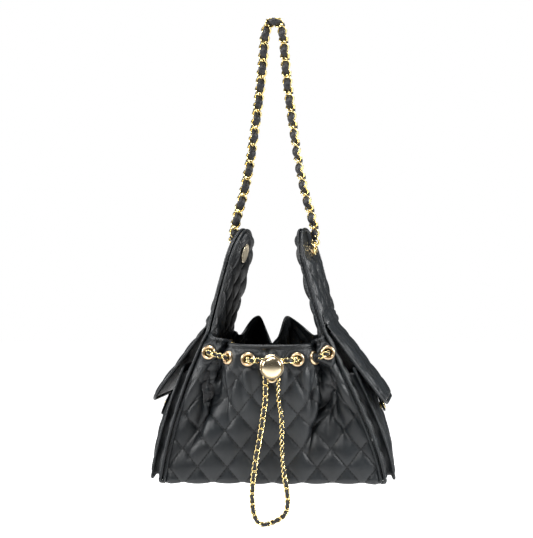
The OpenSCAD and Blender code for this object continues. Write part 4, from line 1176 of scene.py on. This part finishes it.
# Snaps, tab plates and the caps inside the horns
socket = [(0, 0), (0.0050, 0), (0.0050, 0.0004), (0.0045, 0.0008), (0.0031, 0.0008), (0.0027, 0.0003),
          (0, 0.0003)]
stud = [(0, 0), (0.0044, 0), (0.0044, 0.0004), (0.0037, 0.0008), (0.0022, 0.0008), (0.0018, 0.0013),
        (0, 0.0015)]
plate = [(0, 0), (0.0060, 0), (0.0065, 0.0004), (0.0064, 0.0009), (0.0057, 0.0013), (0.0040, 0.0017),
         (0, 0.0021)]
capDisc = [(0, -0.0008), (0.0112, -0.0008), (0.0119, -0.0004), (0.0120, 0.0002), (0.0116, 0.0008),
           (0.0107, 0.0011), (0.0099, 0.0008), (0.0050, 0.0010), (0, 0.0011)]
clear = 0.0001                         # between the metal pieces and the tab
for side, word in ((-1, "left"), (1, "right")):
    outward = Vector(snapPoint(side, 0.0, 0.0, 1.0) - snapPoint(side, 0.0, 0.0, 0.0))
    flapBody = word + "_flap"
    for name, profile, lift, way, body, node in (
            ("Socket", socket, bag["seat"], outward, "bag", "_snap_socket"),
            ("Stud", stud, tab["lift"] - clear, -outward, flapBody, "_snap_stud"),
            ("Plate", plate, tab["lift"] + tab["thick"] + clear, outward, flapBody, "_tab_plate")):
        origin = snapPoint(side, 0.0, 0.0, lift)
        lathe(word + name, profile, origin, way, gold, body, [word + node])
    slope = math.atan(hornSlope)
    inward = -spun([side * math.cos(slope), 0.0, math.sin(slope)], turnAt(postHeight))
    low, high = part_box(word + "_horn_cap")
    lathe(word + "HornCap", capDisc, (low + high) / 2, inward, satinGold, "bag",
          [word + "_horn_cap"], 64)
    plated(word + "_strap_ring", gold)
    plated(word + "_horn_post", paleGold)


# Base
cushionShape = {"cols": 110, "rows": 60, "edge": 0.004, "padFade": 0.010, "lift": 0.0004}


def cushion(name, node, upward, thickness, puffHigh, material):
    # a flat padded rectangle with rounded edges, as big as the node
    low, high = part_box(node)
    xs = np.linspace(low.x, high.x, cushionShape["cols"])
    ys = np.linspace(low.y, high.y, cushionShape["rows"])[::1 if upward else -1]
    X, Y = np.meshgrid(xs, ys)
    toEdge = np.minimum(np.minimum(X - low.x, high.x - X), np.minimum(Y - low.y, high.y - Y))
    bend = 1 - np.clip(toEdge / cushionShape["edge"], 0, 1)
    drop = thickness * 0.8 * (1 - np.sqrt(1 - bend ** 2))
    Z = high.z - drop if upward else low.z + cushionShape["lift"] + drop
    puff = puffHigh * pads(X, Y) * eased((toEdge - cushionShape["edge"]) / cushionShape["padFade"])
    mesh = shellMesh(name, np.stack([X, Y, Z], -1), thickness, pair(X, Y), puff, pair(X + Y, toEdge))
    return finished(mesh, name, material, "bag", [node])


cushion("basePad", "base_panel", False, 0.0026, 0.0013, leather)
cushion("baseFloor", "base_board", True, 0.0020, 0.0006, lining)


# Lining
liningShape = {"behind": 0.0042, "low": 0.034, "high": 0.80, "rows": 46, "reach": 0.94, "cols": 100,
               "fold": 0.0011, "thick": 0.0007}


def behindPanel(side):
    # part of the bent panel, moved inwards to where the lining hangs
    across = np.linspace(-1, 1, liningShape["cols"]) * liningShape["reach"] * -side
    up = np.linspace(liningShape["low"], liningShape["high"], liningShape["rows"])
    us, ts, base = shaped[side]
    cols = [int(np.argmin(np.abs(us - u))) for u in across]
    rows = [int(np.argmin(np.abs(ts - t))) for t in up]
    wall = base[rows][:, cols]
    return wall - normalsOf(wall) * liningShape["behind"]


frontWall, backWall = behindPanel(-1), behindPanel(1)
sideSteps = np.linspace(0, 1, 32)[1:-1]
rightWall = np.stack([mixed(frontWall[:, -1], backWall[:, 0], s) for s in sideSteps], 1)
leftWall = np.stack([mixed(backWall[:, -1], frontWall[:, 0], s) for s in sideSteps], 1)
wall = np.concatenate([frontWall, rightWall, backWall, leftWall, frontWall[:, :1]], 1)
U, V = arcGrid(wall)
inward = -normalsOf(wall)
soft = liningShape["fold"] * (1 + np.sin(U / 0.0061 + 2 * np.sin(V / 0.03))) * eased(V / 0.02)
soft[:, -1] = soft[:, 0]
inward[:, -1] = inward[:, 0]
outer = wall + inward * soft[..., None]
inner = outer + inward * liningShape["thick"]
flat = pair(U, V)
mesh = gridMesh("liningWall", np.concatenate([outer, inner[::-1], outer[:1]]),
                {"flat": np.concatenate([flat, flat[::-1], flat[:1]])})
piece = finished(mesh, "liningWall", lining, "bag", ["lining"])
print("lining is in")
